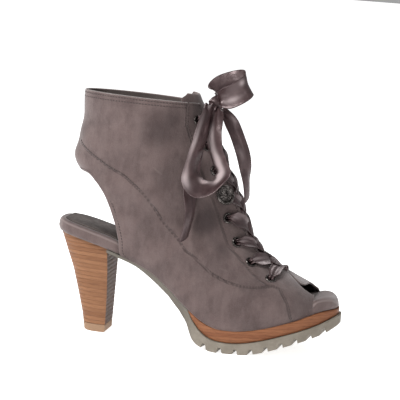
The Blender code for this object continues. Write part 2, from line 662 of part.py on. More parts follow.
def bow_path(table, returns):
    """A route of the bow from the knot, back to it if it returns, and the ribbon's width along it."""
    at = columns(BOW_COLUMNS, table, BOW_UNITS)
    spots = [Vector(spot) for spot in zip(at["x"], at["y"], at["z"])]
    leans, turns = [at["lean"][0], *at["lean"]], [at["turn"][0], *at["turn"]]
    spots.insert(0, knot_side(spots[0], ROOT_LIFT))
    if returns:
        spots.append(knot_side(spots[-1], ROOT_LIFT))
        leans.append(leans[-1])
        turns.append(turns[-1])
    points, wide = [], []
    for i in range(BOW_STEPS * (len(spots) - 1) + 1):
        place = i / BOW_STEPS
        lean, turn = math.radians(cubic(leans, place)), math.radians(cubic(turns, place))
        points.append(Vector([cubic([spot[axis] for spot in spots], place) for axis in range(3)]))
        wide.append(Vector((
            math.cos(lean) * math.cos(turn), -math.sin(turn), math.sin(lean) * math.cos(turn),
        )))
    return points, wide


def build_bow():
    """The knot, the two loops and the two ends."""
    bm = bmesh.new()
    matrix = Matrix.Translation(KNOT_AT) @ Matrix.Diagonal((*KNOT, 1.0))
    bmesh.ops.create_uvsphere(
        bm, u_segments=KNOT_SIDES[0], v_segments=KNOT_SIDES[1], radius=1.0, matrix=matrix,
    )
    new_object("lace_knot", "satin", bm)
    for name, table, width, returns in (
        ("lace_loop_up", LOOP_UP, BOW_WIDTH, True), ("lace_loop_down", LOOP_DOWN, BOW_WIDTH, True),
        ("lace_end_side", TAIL_DOWN, TAIL_WIDTH, False), ("lace_end_front", TAIL_FRONT, TAIL_WIDTH, False),
    ):
        path, wide = bow_path(table, returns)
        strip(name, "satin", path, wide, width, RIBBON_THICK, GATHERED)


def build_medal():
    """The plain round ornament over one eyelet."""
    point, out, down, _ = last_frame(EYELET_ROW[MEDAL_EYELET], -1, EYELET_TURN[MEDAL_EYELET])
    matrix = frame_matrix(point, out, down)
    inset, share = MEDAL_ROUND
    turns = [2 * math.pi * k / MEDAL_SIDES for k in range(MEDAL_SIDES)]
    rings = []
    for radius, height in ((MEDAL_RADIUS, 0), (MEDAL_RADIUS, 1 - share), (MEDAL_RADIUS - inset, 1)):
        rise = MEDAL_BASE + height * MEDAL_THICK
        rings.append([matrix @ Vector((radius * math.cos(t), radius * math.sin(t), rise)) for t in turns])
    loft("medal", "nickel", rings)


def build_zip_tape():
    """The tape of the zip down the inner side, with its closed teeth as one raised band."""
    low = GAP + SAG
    teeth, tape, top = TEETH_WIDTH / 2, ZIP_WIDTH / 2, low + ZIP_THICK
    profile = (
        (-tape, low), (tape, low), (tape, top), (teeth, top), (teeth, top + TEETH_THICK),
        (-teeth, top + TEETH_THICK), (-teeth, top), (-tape, top),
    )
    rings = []
    for i in range(ZIP_STEPS + 1):
        row = ZIP_ROWS[0] + (ZIP_ROWS[1] - ZIP_ROWS[0]) * i / ZIP_STEPS
        point, out, down, _ = last_frame(row, 1, ZIP_TURN)
        side = out.cross(down).normalized()
        rings.append([point + side * aside + out * rise for aside, rise in profile])
    loft("zip_tape", "zip", rings)


def block(name, centre, size, kind=None):
    """A box by its centre and size; without a kind it is a helper."""
    bm = bmesh.new()
    bmesh.ops.create_cube(bm, size=1.0, matrix=Matrix.Translation(centre) @ Matrix.Diagonal((*size, 1.0)))
    return new_object(name, kind, bm, None if kind else CUTTERS)


def rod(name, centre, radius, length):
    """A helper rod along the foot."""
    bm = bmesh.new()
    matrix = Matrix.Translation(centre) @ Matrix.Rotation(math.pi / 2, 4, "Y")
    bmesh.ops.create_cone(
        bm, cap_ends=True, segments=PIN_SIDES, radius1=radius, radius2=radius, depth=length, matrix=matrix,
    )
    return new_object(name, None, bm, CUTTERS)


def build_zip():
    """The zip's slider, and the pull that hangs from its pin; the pull's origin is on the pin."""
    build_zip_tape()
    point, _, _, _ = last_frame(SLIDER_ROW, 1, ZIP_TURN)
    base = point.y + GAP + SAG + ZIP_THICK + TEETH_THICK + 2 * GAP
    deep = SLIDER_SIZE[1]
    pin_at = Vector((point.x, base + deep + EYE_RADIUS + GAP, point.z - PIN_DROP))
    slider = block("zip_slider", (point.x, base + deep / 2, point.z), SLIDER_SIZE, "nickel")
    for side, name in ((-1, "lug_back"), (1, "lug_front")):
        at = (point.x + side * (EYE_WIDTH / 2 + GAP + LUG_WIDTH / 2), base + deep + EYE_RADIUS / 2, pin_at.z)
        join(slider, block(name, at, (LUG_WIDTH, EYE_RADIUS + LUG_OUT, LUG_HEIGHT)))
    join(slider, rod("pin", pin_at, PIN_RADIUS, EYE_WIDTH + 2 * GAP + LUG_WIDTH))

    narrow, wide = EYE_WIDTH / 2, PULL_WIDTH / 2
    half = (
        (narrow, -PULL_TOP * EYE_RADIUS), (narrow, -PULL_SHOULDER[0]), (wide, -PULL_SHOULDER[1]),
        (wide, PULL_CORNER - PULL_LENGTH), (wide - PULL_CORNER, -PULL_LENGTH),
    )
    outline = [*half, *((-x, z) for x, z in half[::-1])]
    rings = [[(x, y, z) for x, z in outline] for y in (-PULL_THICK / 2, PULL_THICK / 2)]
    tab = loft("zip_pull", "nickel", rings)
    tab.location = pin_at
    join(tab, rod("pull_eye", pin_at, EYE_RADIUS, EYE_WIDTH))
    cut(tab, rod("pull_bore", pin_at, EYE_BORE, 2 * EYE_WIDTH))


def join(obj, other):
    """Adds the other shape to the object."""
    boolean = obj.modifiers.new("join", "BOOLEAN")
    boolean.operation = "UNION"
    boolean.solver = "EXACT"
    boolean.object = other
    other.hide_render = True
    other.display_type = "WIRE"


FORM = columns(LAST_COLUMNS, LAST, LAST_UNITS)
PLAN = columns(OUTLINE_COLUMNS, OUTLINE, OUTLINE_UNITS)
FLOORS = columns(LEVEL_COLUMNS, LEVELS, LEVEL_UNITS)
BLOCK = columns(HEEL_COLUMNS, HEEL, HEEL_UNITS)
PARTS, CUTTERS = fresh_collections("heeled_boot")

build_upper()
build_tongue()
build_board()
build_sock()
build_platform()
build_tread()
build_heel()
build_eyelets()
build_medal()
build_bars()
build_bow()
build_zip()
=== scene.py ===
"""A right-foot lace-up ankle boot with an open toe and an open heel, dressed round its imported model.

Metres, +Z up, toe towards +X, inner side of the foot towards +Y, floor at Z = 0. Tables of places are in
millimetres, and a place on the skin of the last is (row down the last, degrees round it from the ridge);
degrees are negative on the outer side.
"""

import logging
import math
from dataclasses import dataclass, field
from enum import Enum

import bmesh
import bpy
import numpy as np
from mathutils import Matrix, Vector


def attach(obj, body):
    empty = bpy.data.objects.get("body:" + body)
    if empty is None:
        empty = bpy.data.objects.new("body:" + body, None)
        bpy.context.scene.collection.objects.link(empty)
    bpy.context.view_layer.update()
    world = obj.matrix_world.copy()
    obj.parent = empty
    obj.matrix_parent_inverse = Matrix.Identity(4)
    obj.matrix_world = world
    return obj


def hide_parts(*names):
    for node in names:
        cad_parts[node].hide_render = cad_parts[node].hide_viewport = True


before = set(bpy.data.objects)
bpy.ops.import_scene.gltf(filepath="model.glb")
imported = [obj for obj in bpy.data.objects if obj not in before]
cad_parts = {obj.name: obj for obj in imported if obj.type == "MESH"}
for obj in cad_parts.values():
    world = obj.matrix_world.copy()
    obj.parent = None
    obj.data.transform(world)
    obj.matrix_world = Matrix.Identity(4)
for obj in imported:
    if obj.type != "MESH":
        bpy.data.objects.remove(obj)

LOG = logging.getLogger("boot")
MM = 0.001
IMAGE_WIDTH = 400  # pixels of the square picture that the camera is fitted to
WALL = 1.8 * MM
TONGUE_OFF = 2.6 * MM  # from the last's skin in to the tongue's face


class Side(Enum):
    """The two halves of the boot; the value is the sign of Y."""

    OUTER = -1
    INNER = 1


class Body(Enum):
    """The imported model's bodies that a piece may ride on."""

    BOOT = "boot"
    PULL = "zip_pull"


class Slot(Enum):
    """The record's material slots."""

    NUBUCK = "nubuck"
    SOCK = "sock_lining"
    WOOD = "stacked_wood"
    RUBBER = "sole_rubber"
    SATIN = "satin"
    NICKEL = "nickel"
    ZIP = "zip_tape"


# Arrays and meshes


def unit(vectors: np.ndarray) -> np.ndarray:
    """The vectors at length one."""
    return vectors / np.maximum(np.linalg.norm(vectors, axis=-1, keepdims=True), 1e-12)


def smooth(value: np.ndarray) -> np.ndarray:
    """A soft step from 0 to 1 while value goes from 0 to 1."""
    t = np.clip(value, 0.0, 1.0)
    return t * t * (3 - 2 * t)


def cubic(values: np.ndarray, place: np.ndarray) -> np.ndarray:
    """A smooth value between the rows of a column; past the ends it goes on straight.

    Args:
        values: One value, or one point, for each row.
        place: Places between the rows.

    Returns:
        A value or a point for each place.
    """
    values, place = np.asarray(values, float), np.asarray(place, float)
    last = len(values) - 1
    i = np.clip(np.floor(place).astype(int), 0, last - 1)
    t = place - i
    outside = (place <= 0) | (place >= last)
    if values.ndim > 1:
        t, outside = t[..., None], outside[..., None]
    p0, p1, p2, p3 = (values[np.clip(i + k, 0, last)] for k in (-1, 0, 1, 2))
    bend = 2 * p1 + (p2 - p0) * t + (2 * p0 - 5 * p1 + 4 * p2 - p3) * t**2
    return np.where(outside, p1 + (p2 - p1) * t, 0.5 * (bend + (3 * p1 - p0 - 3 * p2 + p3) * t**3))


def along_line(points: np.ndarray, pitch: float) -> np.ndarray:
    """The line through the points, cut into even steps near the pitch."""
    gone = np.concatenate([[0.0], np.cumsum(np.linalg.norm(np.diff(points, axis=0), axis=1))])
    count = max(int(round(gone[-1] / pitch)), 1)
    at = np.linspace(0, gone[-1], count + 1)
    return np.stack([np.interp(at, gone, points[:, k]) for k in range(points.shape[1])], axis=1)


def line_length(points: np.ndarray) -> float:
    """The length of the line through the points."""
    return float(np.linalg.norm(np.diff(points, axis=0), axis=1).sum())


def grid_faces(rows: int, cols: int, start: int = 0, closed: bool = False, flip: bool = False) -> np.ndarray:
    """The quads of a grid of vertices that is stored row by row.

    Args:
        rows: Rows of vertices.
        cols: Vertices in a row.
        start: Number of the first vertex.
        closed: Whether each row closes on itself.
        flip: Whether the faces look the other way.

    Returns:
        Four vertex numbers for each face.
    """
    number = start + np.arange(rows * cols).reshape(rows, cols)
    if closed:
        number = np.concatenate([number, number[:, :1]], axis=1)
    quads = np.stack([number[:-1, :-1], number[:-1, 1:], number[1:, 1:], number[1:, :-1]], axis=-1)
    quads = quads.reshape(-1, 4)
    return quads[:, ::-1] if flip else quads


@dataclass
class Shape:
    """Vertices and faces of a mesh in the making, with one number a vertex for each named layer."""

    points: list[np.ndarray] = field(default_factory=list)
    faces: list[np.ndarray] = field(default_factory=list)
    marks: dict[str, list[np.ndarray]] = field(default_factory=dict)
    count: int = 0

    def add(self, points: np.ndarray, faces: np.ndarray, **marks: np.ndarray) -> None:
        """Adds a patch.

        Args:
            points: Its vertices.
            faces: Its faces, numbered within the patch.
            **marks: A number for each vertex, by layer.
        """
        points = np.asarray(points, float).reshape(-1, 3)
        self.points.append(points)
        self.faces.append(np.asarray(faces) + self.count)
        for name, values in marks.items():
            self.marks.setdefault(name, []).append(np.broadcast_to(values, len(points)))
        self.count += len(points)

    def grid(self, points: np.ndarray, closed: bool = False, flip: bool = False, **marks: np.ndarray) -> None:
        """Adds a grid of points of shape (rows, columns, 3)."""
        rows, cols = points.shape[:2]
        self.add(points, grid_faces(rows, cols, 0, closed, flip), **marks)

    def mesh(self, name: str, weld: float = 0.0) -> bpy.types.Object:
        """Makes the object.

        Args:
            name: The piece's name.
            weld: Distance under which vertices become one.

        Returns:
            The object, in the scene, with smooth shading.
        """
        mesh = bpy.data.meshes.new(name)
        faces = [f for patch in self.faces for f in patch.tolist()]
        mesh.from_pydata(np.concatenate(self.points).tolist(), [], faces)
        for layer, values in self.marks.items():
            mark = mesh.attributes.new(layer, "FLOAT", "POINT")
            mark.data.foreach_set("value", np.concatenate(values).astype(np.float32))
        bm = bmesh.new()
        bm.from_mesh(mesh)
        if weld:
            bmesh.ops.remove_doubles(bm, verts=bm.verts, dist=weld)
            bmesh.ops.dissolve_degenerate(bm, edges=bm.edges, dist=weld / 10)
        bm.to_mesh(mesh)
        bm.free()
        mesh.validate()
        mesh.shade_smooth()
        obj = bpy.data.objects.new(name, mesh)
        bpy.context.scene.collection.objects.link(obj)
        return obj


def face_outwards(obj: bpy.types.Object) -> None:
    """Turns the faces of a closed or nearly closed mesh outwards."""
    bm = bmesh.new()
    bm.from_mesh(obj.data)
    bmesh.ops.recalc_face_normals(bm, faces=bm.faces)
    bm.to_mesh(obj.data)
    bm.free()


def bevel(obj: bpy.types.Object, width: float, segments: int = 2, angle: float = 40.0) -> None:
    """Rounds the object's sharp edges."""
    edge = obj.modifiers.new("edge", "BEVEL")
    edge.width, edge.segments = width, segments
    edge.limit_method, edge.angle_limit = "ANGLE", math.radians(angle)
    edge.harden_normals = False


def thicken(obj: bpy.types.Object, thickness: float, offset: float = 0.0) -> None:
    """Gives a sheet a thickness; offset is -1 inwards, 1 outwards."""
    wall = obj.modifiers.new("wall", "SOLIDIFY")
    wall.thickness, wall.offset = thickness, offset


def settle(
    obj: bpy.types.Object, finish: "Finish", slot: Slot, *nodes: str, body: Body = Body.BOOT
) -> bpy.types.Object:
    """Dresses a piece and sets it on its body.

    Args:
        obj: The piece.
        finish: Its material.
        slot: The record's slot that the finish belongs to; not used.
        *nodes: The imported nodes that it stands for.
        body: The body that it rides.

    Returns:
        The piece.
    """
    obj.data.materials.clear()
    obj.data.materials.append(finish.material())
    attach(obj, body.value)
    if nodes:
        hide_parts(*nodes)
    LOG.info("%s: %d faces", obj.name, len(obj.data.polygons) if obj.type == "MESH" else 0)
    return obj


# The last and the sole's plan


@dataclass(frozen=True)
class Last:
    """The form that the upper is pulled over, as sections from the collar to the upper's front edge.

    ridge and edge are the ends of a section seen from the side, turn is how far round it goes, lateral and
    medial are its half widths from middle, front is where the throat or the toe opening starts, and square
    is 1 for an oval.
    """

    names: tuple[str, ...] = (
        "ridge_x", "ridge_z", "edge_x", "edge_z", "turn", "lateral", "medial", "middle", "front", "square",
    )
    units: tuple[float, ...] = (MM, MM, MM, MM, 1, MM, MM, MM, 1, 1)
    table: tuple[tuple[float, ...], ...] = (
        (78.5, 197.0, -22.3, 200.5, 180, 29.5, 29.5, 0.0, 17, 1.0),
        (83.5, 186.0, -22.4, 186.5, 180, 29.0, 29.0, 0.0, 17, 1.0),
        (89.5, 173.5, -22.8, 173.0, 180, 28.5, 28.5, 0.0, 17, 1.0),
        (95.5, 161.0, -25.0, 160.0, 180, 29.0, 29.0, 0.0, 17, 1.0),
        (101.5, 148.3, -27.6, 147.0, 180, 30.0, 30.0, 0.0, 17, 1.0),
        (106.2, 138.5, -24.2, 136.6, 180, 31.0, 31.0, 0.0, 16, 1.0),
        (109.3, 131.8, -12.5, 134.6, 144, 32.0, 32.0, 0.0, 16, 1.0),
        (112.0, 126.0, -2.9, 127.2, 132, 32.8, 32.4, 0.3, 15, 1.0),
        (115.0, 119.3, 5.2, 117.4, 127, 33.3, 32.6, 0.5, 15, 1.0),
        (118.3, 111.3, 11.4, 106.2, 124, 33.6, 32.6, 0.7, 14, 1.0),
        (121.5, 103.0, 16.3, 93.8, 123, 33.8, 32.6, 0.9, 14, 1.0),
        (124.6, 95.0, 20.0, 80.5, 123, 33.8, 32.4, 1.0, 13, 1.0),
        (128.0, 88.8, 22.6, 68.3, 123, 33.8, 32.2, 1.1, 13, 1.0),
        (132.0, 83.4, 36.0, 63.0, 123, 34.5, 32.0, 1.2, 12, 1.0),
        (136.3, 78.6, 50.0, 56.6, 121, 35.8, 32.0, 1.3, 11, 1.0),
        (141.2, 74.4, 65.0, 46.2, 117, 38.0, 33.0, 1.4, 9, 0.98),
        (146.4, 70.9, 80.0, 34.0, 112, 41.0, 36.0, 1.5, 0, 0.95),
        (151.5, 68.3, 96.0, 23.6, 107, 44.5, 39.0, 1.6, 0, 0.92),
        (156.8, 66.0, 112.0, 18.7, 103, 47.2, 40.5, 1.8, 0, 0.88),
        (162.3, 63.2, 128.0, 19.4, 101, 47.0, 41.2, 2.2, 8, 0.84),
        (168.0, 60.2, 144.0, 22.0, 100, 44.5, 40.5, 3.0, 15, 0.80),
        (173.4, 57.4, 159.5, 26.0, 99, 40.3, 38.2, 4.0, 22, 0.76),
        (178.0, 54.8, 173.0, 30.7, 98, 34.3, 34.3, 5.0, 29, 0.72),
        (181.5, 52.4, 185.8, 36.1, 97, 26.0, 28.0, 6.0, 38, 0.70),
    )
    bridge: tuple[float, float] = (16.0, 18.0)  # rows where the upper goes over the ridge unbroken
    ease_rows: tuple[float, float] = (4.0, 7.4)  # where the skin is smoothed down, above the heel's opening
    ease_blend: float = 0.6
    ease_reach: float = 0.38

    def column(self, name: str, row: np.ndarray) -> np.ndarray:
        """One of the sizes at places between the rows."""
        i = self.names.index(name)
        return cubic(np.array([line[i] for line in self.table]) * self.units[i], row)

    def front(self, row: np.ndarray) -> np.ndarray:
        """Where the upper starts beside the ridge, in degrees; 0 on the bridge."""
        fronts = [line[self.names.index("front")] for line in self.table]
        return np.interp(row, range(len(self.table)), fronts)

    def final(self, row: np.ndarray) -> np.ndarray:
        """Where the upper ends under or behind the foot, in degrees."""
        return np.minimum(self.column("turn", row), 180.0)

    def point(self, row: np.ndarray, turn: np.ndarray) -> np.ndarray:
        """Points of the last's skin, smoothed where the heel's opening starts."""
        row, turn = np.broadcast_arrays(np.asarray(row, float), np.asarray(turn, float))
        skin = self.unsmoothed(row, turn)
        first, last = self.ease_rows
        near = (row > first) & (row < last)
        if near.any():
            share = smooth((row - first) / self.ease_blend) * smooth((last - row) / self.ease_blend)
            share = share[near][..., None]
            steps = np.linspace(-2.4, 2.4, 13)
            weights = np.exp(-0.5 * steps**2)
            soft = sum(
                weight * self.unsmoothed(row[near] + step * self.ease_reach, turn[near])
                for step, weight in zip(steps, weights / weights.sum())
            )
            skin[near] = skin[near] * (1 - share) + soft * share
        return skin

    def unsmoothed(self, row: np.ndarray, turn: np.ndarray) -> np.ndarray:
        """Points of the last's skin straight from the table."""
        turn = (turn + 180.0) % 360.0 - 180.0
        at = {name: self.column(name, row) for name in self.names if name != "front"}
        angle = np.radians(np.abs(turn))
        share = (1 - np.cos(angle)) / (1 - np.cos(np.radians(at["turn"])))
        half = np.where(turn < 0, -at["lateral"], at["medial"])
        return np.stack([
            at["ridge_x"] + share * (at["edge_x"] - at["ridge_x"]),
            at["middle"] + half * np.maximum(np.sin(angle), 0.0) ** at["square"],
            at["ridge_z"] + share * (at["edge_z"] - at["ridge_z"]),
        ], axis=-1)

    def frame(self, row: np.ndarray, turn: np.ndarray) -> tuple[np.ndarray, ...]:
        """The skin and its directions.

        Args:
            row: Places down the last.
            turn: Degrees round it.

        Returns:
            The points, and unit vectors outwards, down the foot and round it towards the inner side.
        """
        row, turn = np.broadcast_arrays(np.asarray(row, float), np.asarray(turn, float))
        point = self.point(row, turn)
        down = unit(self.point(row + 0.05, turn) - self.point(row - 0.05, turn))
        across = unit(self.point(row, turn + 1) - self.point(row, turn - 1))
        out = unit(np.cross(across, down))
        centre = np.stack([
            (self.column("ridge_x", row) + self.column("edge_x", row)) / 2,
            self.column("middle", row),
            (self.column("ridge_z", row) + self.column("edge_z", row)) / 2,
        ], axis=-1)
        inwards = ((point - centre) * out).sum(-1, keepdims=True) < 0
        return point, np.where(inwards, -out, out), down, across

    def lifted(self, row: np.ndarray, turn: np.ndarray, lift: np.ndarray) -> np.ndarray:
        """Points that stand off the skin."""
        point, out, _, _ = self.frame(row, turn)
        return point + out * np.asarray(lift)[..., None]

    def spot(self, row: float, turn: float) -> Matrix:
        """A matrix on the skin with Z outwards and X down the foot."""
        point, out, down, _ = (Vector(v) for v in self.frame(row, turn))
        x = (down - out * down.dot(out)).normalized()
        matrix = Matrix((x, out.cross(x), out)).transposed().to_4x4()
        matrix.translation = point
        return matrix


@dataclass(frozen=True)
class SolePlan:
    """The outline of the sole from above, and the heights of its layers along the foot."""

    outline: tuple[tuple[float, float, float], ...] = (
        (-36.4, 0.0, 0.0), (-36.0, 4.5, 4.5), (-35.2, 9.0, 9.0), (-33.0, 15.0, 15.0), (-29.0, 20.3, 20.3),
        (-22.0, 25.0, 25.0), (-12.0, 27.8, 27.6), (0.0, 28.6, 28.2), (12.0, 28.4, 27.6),
        (24.0, 27.8, 26.4), (38.0, 27.6, 25.4), (52.0, 29.2, 25.6), (66.0, 32.2, 28.0),
        (80.0, 36.4, 32.0), (94.0, 41.0, 36.6), (108.0, 44.4, 40.4), (120.0, 44.8, 42.4),
        (134.0, 43.0, 43.2), (148.0, 40.0, 42.6), (162.0, 35.4, 41.0), (174.0, 29.4, 38.2),
        (183.0, 23.4, 34.6), (190.0, 17.2, 30.2), (195.0, 11.6, 25.4), (198.6, 6.4, 20.6),
        (200.8, 1.8, 15.8), (201.6, -1.6, 11.6), (202.1, -6.6, 6.6),
    )
    layers: tuple[str, ...] = ("board", "feather", "wood", "tread")
    levels: tuple[tuple[float, ...], ...] = (
        (-36, 92.5, 83.8, 83.8, 80.8), (-33, 94.0, 83.1, 83.1, 80.1), (-26, 92.3, 81.3, 81.3, 78.3),
        (-10, 88.7, 77.8, 77.8, 74.8), (4, 85.0, 74.3, 74.3, 71.3), (12, 82.4, 71.8, 71.8, 68.9),
        (20, 79.2, 69.0, 69.0, 66.0), (36, 72.4, 62.8, 62.8, 58.8), (50, 65.8, 56.4, 56.4, 49.8),
        (65, 55.6, 46.0, 46.0, 38.5), (76, 46.6, 36.8, 36.8, 27.4), (83, 41.0, 31.4, 31.2, 18.6),
        (88, 37.4, 27.8, 23.4, 8.6), (94, 33.6, 23.8, 16.6, 3.8), (101, 30.4, 20.6, 11.8, 1.2),
        (108, 28.5, 18.8, 9.4, 0.0), (120, 28.0, 18.4, 8.6, 0.0), (132, 29.0, 19.3, 9.6, 0.0),
        (146, 31.8, 22.1, 12.6, 2.6), (160, 36.0, 26.0, 16.6, 6.8), (172, 41.4, 29.8, 20.3, 10.8),
        (182, 45.4, 33.8, 23.8, 14.2), (190, 47.8, 36.6, 27.0, 17.4), (197, 47.6, 37.8, 30.4, 20.6),
        (201.6, 44.6, 38.2, 32.8, 23.6), (207, 44.0, 38.4, 34.6, 26.6),
    )

    def level(self, name: str, x: np.ndarray) -> np.ndarray:
        """The height of a layer at places along the foot."""
        table = np.array(self.levels) * MM
        place = np.interp(x, table[:, 0], np.arange(len(table)))
        return cubic(table[:, 1 + self.layers.index(name)], place)

    def rim(self, side: Side, places: np.ndarray) -> tuple[np.ndarray, np.ndarray]:
        """The outline on one side.

        Args:
            side: Which half.
            places: Shares of the way from heel to toe, in rows of the outline.

        Returns:
            Points in plan and the outline's unit normals there.
        """
        table = np.array(self.outline) * MM
        line = np.stack([table[:, 0], side.value * table[:, 1 if side is Side.OUTER else 2]], axis=1)
        point = cubic(line, places)
        after = cubic(line, np.minimum(places + 0.02, len(line) - 1))
        ahead = unit(after - cubic(line, np.maximum(places - 0.02, 0)))
        normal = np.stack([ahead[:, 1], -ahead[:, 0]], axis=1) * (1 if side is Side.OUTER else -1)
        return point, normal

    def places(self, first: float, final: float, step: float) -> np.ndarray:
        """Rows of the outline from one place along the foot to another, even in the foot's length."""
        rows = np.linspace(0, len(self.outline) - 1, 2001)
        xs = self.rim(Side.OUTER, rows)[0][:, 0]
        gone = self.rim(Side.OUTER, rows)[0]
        far = np.concatenate([[0], np.cumsum(np.linalg.norm(np.diff(gone, axis=0), axis=1))])
        start, end = np.interp([first, final], xs, far)
        count = max(int((end - start) / step), 2)
        return np.interp(np.linspace(start, end, count + 1), far, rows)


LAST = Last()
PLAN = SolePlan()


# Finishes

Colour = tuple[float, float, float]


class Paint:
    """A Principled material whose nodes are wired step by step."""

    def __init__(self, name: str) -> None:
        """Starts the material."""
        self.made = bpy.data.materials.new(name)
        self.made.use_nodes = True
        self.nodes = self.made.node_tree.nodes
        self.shader = self.nodes["Principled BSDF"]
        self.place = self.nodes.new("ShaderNodeTexCoord").outputs["Object"]

    def wire(self, socket: bpy.types.NodeSocket, value: object) -> None:
        """Links a socket into another, or sets its value."""
        if isinstance(value, bpy.types.NodeSocket):
            self.made.node_tree.links.new(value, socket)
        elif isinstance(value, tuple) and len(value) == 3 and socket.type == "RGBA":
            socket.default_value = (*value, 1.0)
        else:
            socket.default_value = value

    def steady(self, **values: object) -> None:
        """Sets sockets of the shader that are the same all over."""
        for name, value in values.items():
            self.wire(self.shader.inputs[name.replace("_", " ")], value)

    def stretch(self, x: float, y: float, z: float) -> bpy.types.NodeSocket:
        """The place on the piece, scaled on each axis."""
        node = self.nodes.new("ShaderNodeMapping")
        self.wire(node.inputs["Vector"], self.place)
        node.inputs["Scale"].default_value = (x, y, z)
        return node.outputs["Vector"]

    def noise(
        self, scale: float, detail: float = 3.0, rough: float = 0.5, where: object = None
    ) -> bpy.types.NodeSocket:
        """Soft cloudy noise around 0.5."""
        node = self.nodes.new("ShaderNodeTexNoise")
        self.wire(node.inputs["Vector"], where or self.place)
        node.inputs["Scale"].default_value = scale
        node.inputs["Detail"].default_value = detail
        node.inputs["Roughness"].default_value = rough
        return node.outputs["Fac"]

    def mark(self, layer: str) -> bpy.types.NodeSocket:
        """A layer of numbers that the mesh carries."""
        node = self.nodes.new("ShaderNodeAttribute")
        node.attribute_name = layer
        return node.outputs["Fac"]

    def ramp(
        self, value: bpy.types.NodeSocket, low: float, high: float, to_low: float = 0.0, to_high: float = 1.0
    ) -> bpy.types.NodeSocket:
        """The value taken from one range to another, held at its ends."""
        node = self.nodes.new("ShaderNodeMapRange")
        node.interpolation_type = "SMOOTHSTEP"
        names = ("Value", "From Min", "From Max", "To Min", "To Max")
        for name, given in zip(names, (value, low, high, to_low, to_high)):
            self.wire(node.inputs[name], given)
        return node.outputs["Result"]

    def axes(self, vector: bpy.types.NodeSocket) -> bpy.types.NodeOutputs:
        """The vector's X, Y and Z."""
        node = self.nodes.new("ShaderNodeSeparateXYZ")
        self.wire(node.inputs[0], vector)
        return node.outputs

    def sum(self, kind: str, one: object, two: object) -> bpy.types.NodeSocket:
        """A Math node of that kind."""
        node = self.nodes.new("ShaderNodeMath")
        node.operation = kind
        self.wire(node.inputs[0], one)
        self.wire(node.inputs[1], two)
        return node.outputs[0]

    def blend(self, share: object, one: object, two: object, kind: str = "MIX") -> bpy.types.NodeSocket:
        """A mix of two colours."""
        node = self.nodes.new("ShaderNodeMix")
        node.data_type, node.blend_type = "RGBA", kind
        self.wire(node.inputs["Factor"], share)
        self.wire(node.inputs[6], one)
        self.wire(node.inputs[7], two)
        return node.outputs[2]

    def colour(self, value: object) -> None:
        """The surface's colour."""
        self.wire(self.shader.inputs["Base Color"], value)

    def gloss(self, value: object) -> None:
        """The surface's roughness."""
        self.wire(self.shader.inputs["Roughness"], value)

    def bump(self, *layers: tuple[bpy.types.NodeSocket, float]) -> None:
        """Relief from several heights, each with its depth in metres."""
        normal = None
        for height, depth in layers:
            node = self.nodes.new("ShaderNodeBump")
            node.inputs["Strength"].default_value = 1.0
            node.inputs["Distance"].default_value = depth
            self.wire(node.inputs["Height"], height)
            if normal is not None:
                self.wire(node.inputs["Normal"], normal)
            normal = node.outputs["Normal"]
        self.wire(self.shader.inputs["Normal"], normal)


class Finish:
    """A material that is made once and used by several pieces."""

    name: str = ""
    _made: dict[str, bpy.types.Material] = {}

    def paint(self) -> Paint:
        """Wires the material."""
        raise NotImplementedError

    def material(self) -> bpy.types.Material:
        """The material, made on first use."""
        if self.name not in Finish._made:
            Finish._made[self.name] = self.paint().made
        return Finish._made[self.name]


@dataclass(frozen=True)
class Nubuck(Finish):
    """Brushed leather: cloudy nap, darker in its troughs and along its seams, with painted shade and
    highlight.
    """

    name: str = "nubuck"
    lit: Colour = (0.108, 0.075, 0.071)
    shade: Colour = (0.070, 0.047, 0.045)
    # Lighter colour for rubbed nap, speckle and worn edges, and for the painted highlight along the board's
    # rim.
    wear_and_highlight: Colour = (0.23, 0.182, 0.172)
    # Colour of the painted shade patches.
    dark: Colour = (0.026, 0.017, 0.017)
    rough: float = 0.9

    def paint(self) -> Paint:
        """Wires the material."""
        paint = Paint(self.name)
        cloud = paint.ramp(paint.noise(42, 4, 0.6), 0.36, 0.66)
        brushed = paint.ramp(paint.noise(150, 3, 0.6, paint.stretch(1, 1, 0.35)), 0.3, 0.7)
        speck = paint.noise(1700, 2, 0.6)
        tone = paint.blend(cloud, self.shade, self.lit)
        tone = paint.blend(paint.ramp(brushed, 0.0, 1.0, 0.0, 0.12), tone, self.wear_and_highlight)
        tone = paint.blend(paint.ramp(speck, 0.35, 0.7, 0.0, 0.12), tone, self.wear_and_highlight)
        # Painted shade: patches darkened where shade falls beside the lacing, under the bow and round the
        # ankle.
        tone = paint.blend(paint.ramp(paint.mark("painted_shade"), 0.0, 1.0, 0.0, 0.8), tone, self.dark)
        # Darker along the seams and the rows of stitches.
        seam_darkening = paint.ramp(paint.mark("seam"), 0.0, 0.001, 0.75, 0.0)
        tone = paint.blend(seam_darkening, tone, (0.035, 0.024, 0.022))
        # The edge layer lightens worn rolled edges and scuffs on the upper, and paints a highlight along the
        # board's rounded rim.
        tone = paint.blend(paint.ramp(paint.mark("edge"), 0.15, 1.0, 0.0, 0.6), tone, self.wear_and_highlight)
        paint.colour(tone)
        paint.gloss(self.rough)
        paint.steady(Sheen_Weight=0.35, Sheen_Roughness=0.5, Specular_IOR_Level=0.18)
        groove = paint.ramp(paint.mark("seam"), 0.0, 0.0009)
        paint.bump((paint.noise(520, 4, 0.65), 0.00022), (speck, 0.00012), (groove, 0.0004))
        return paint


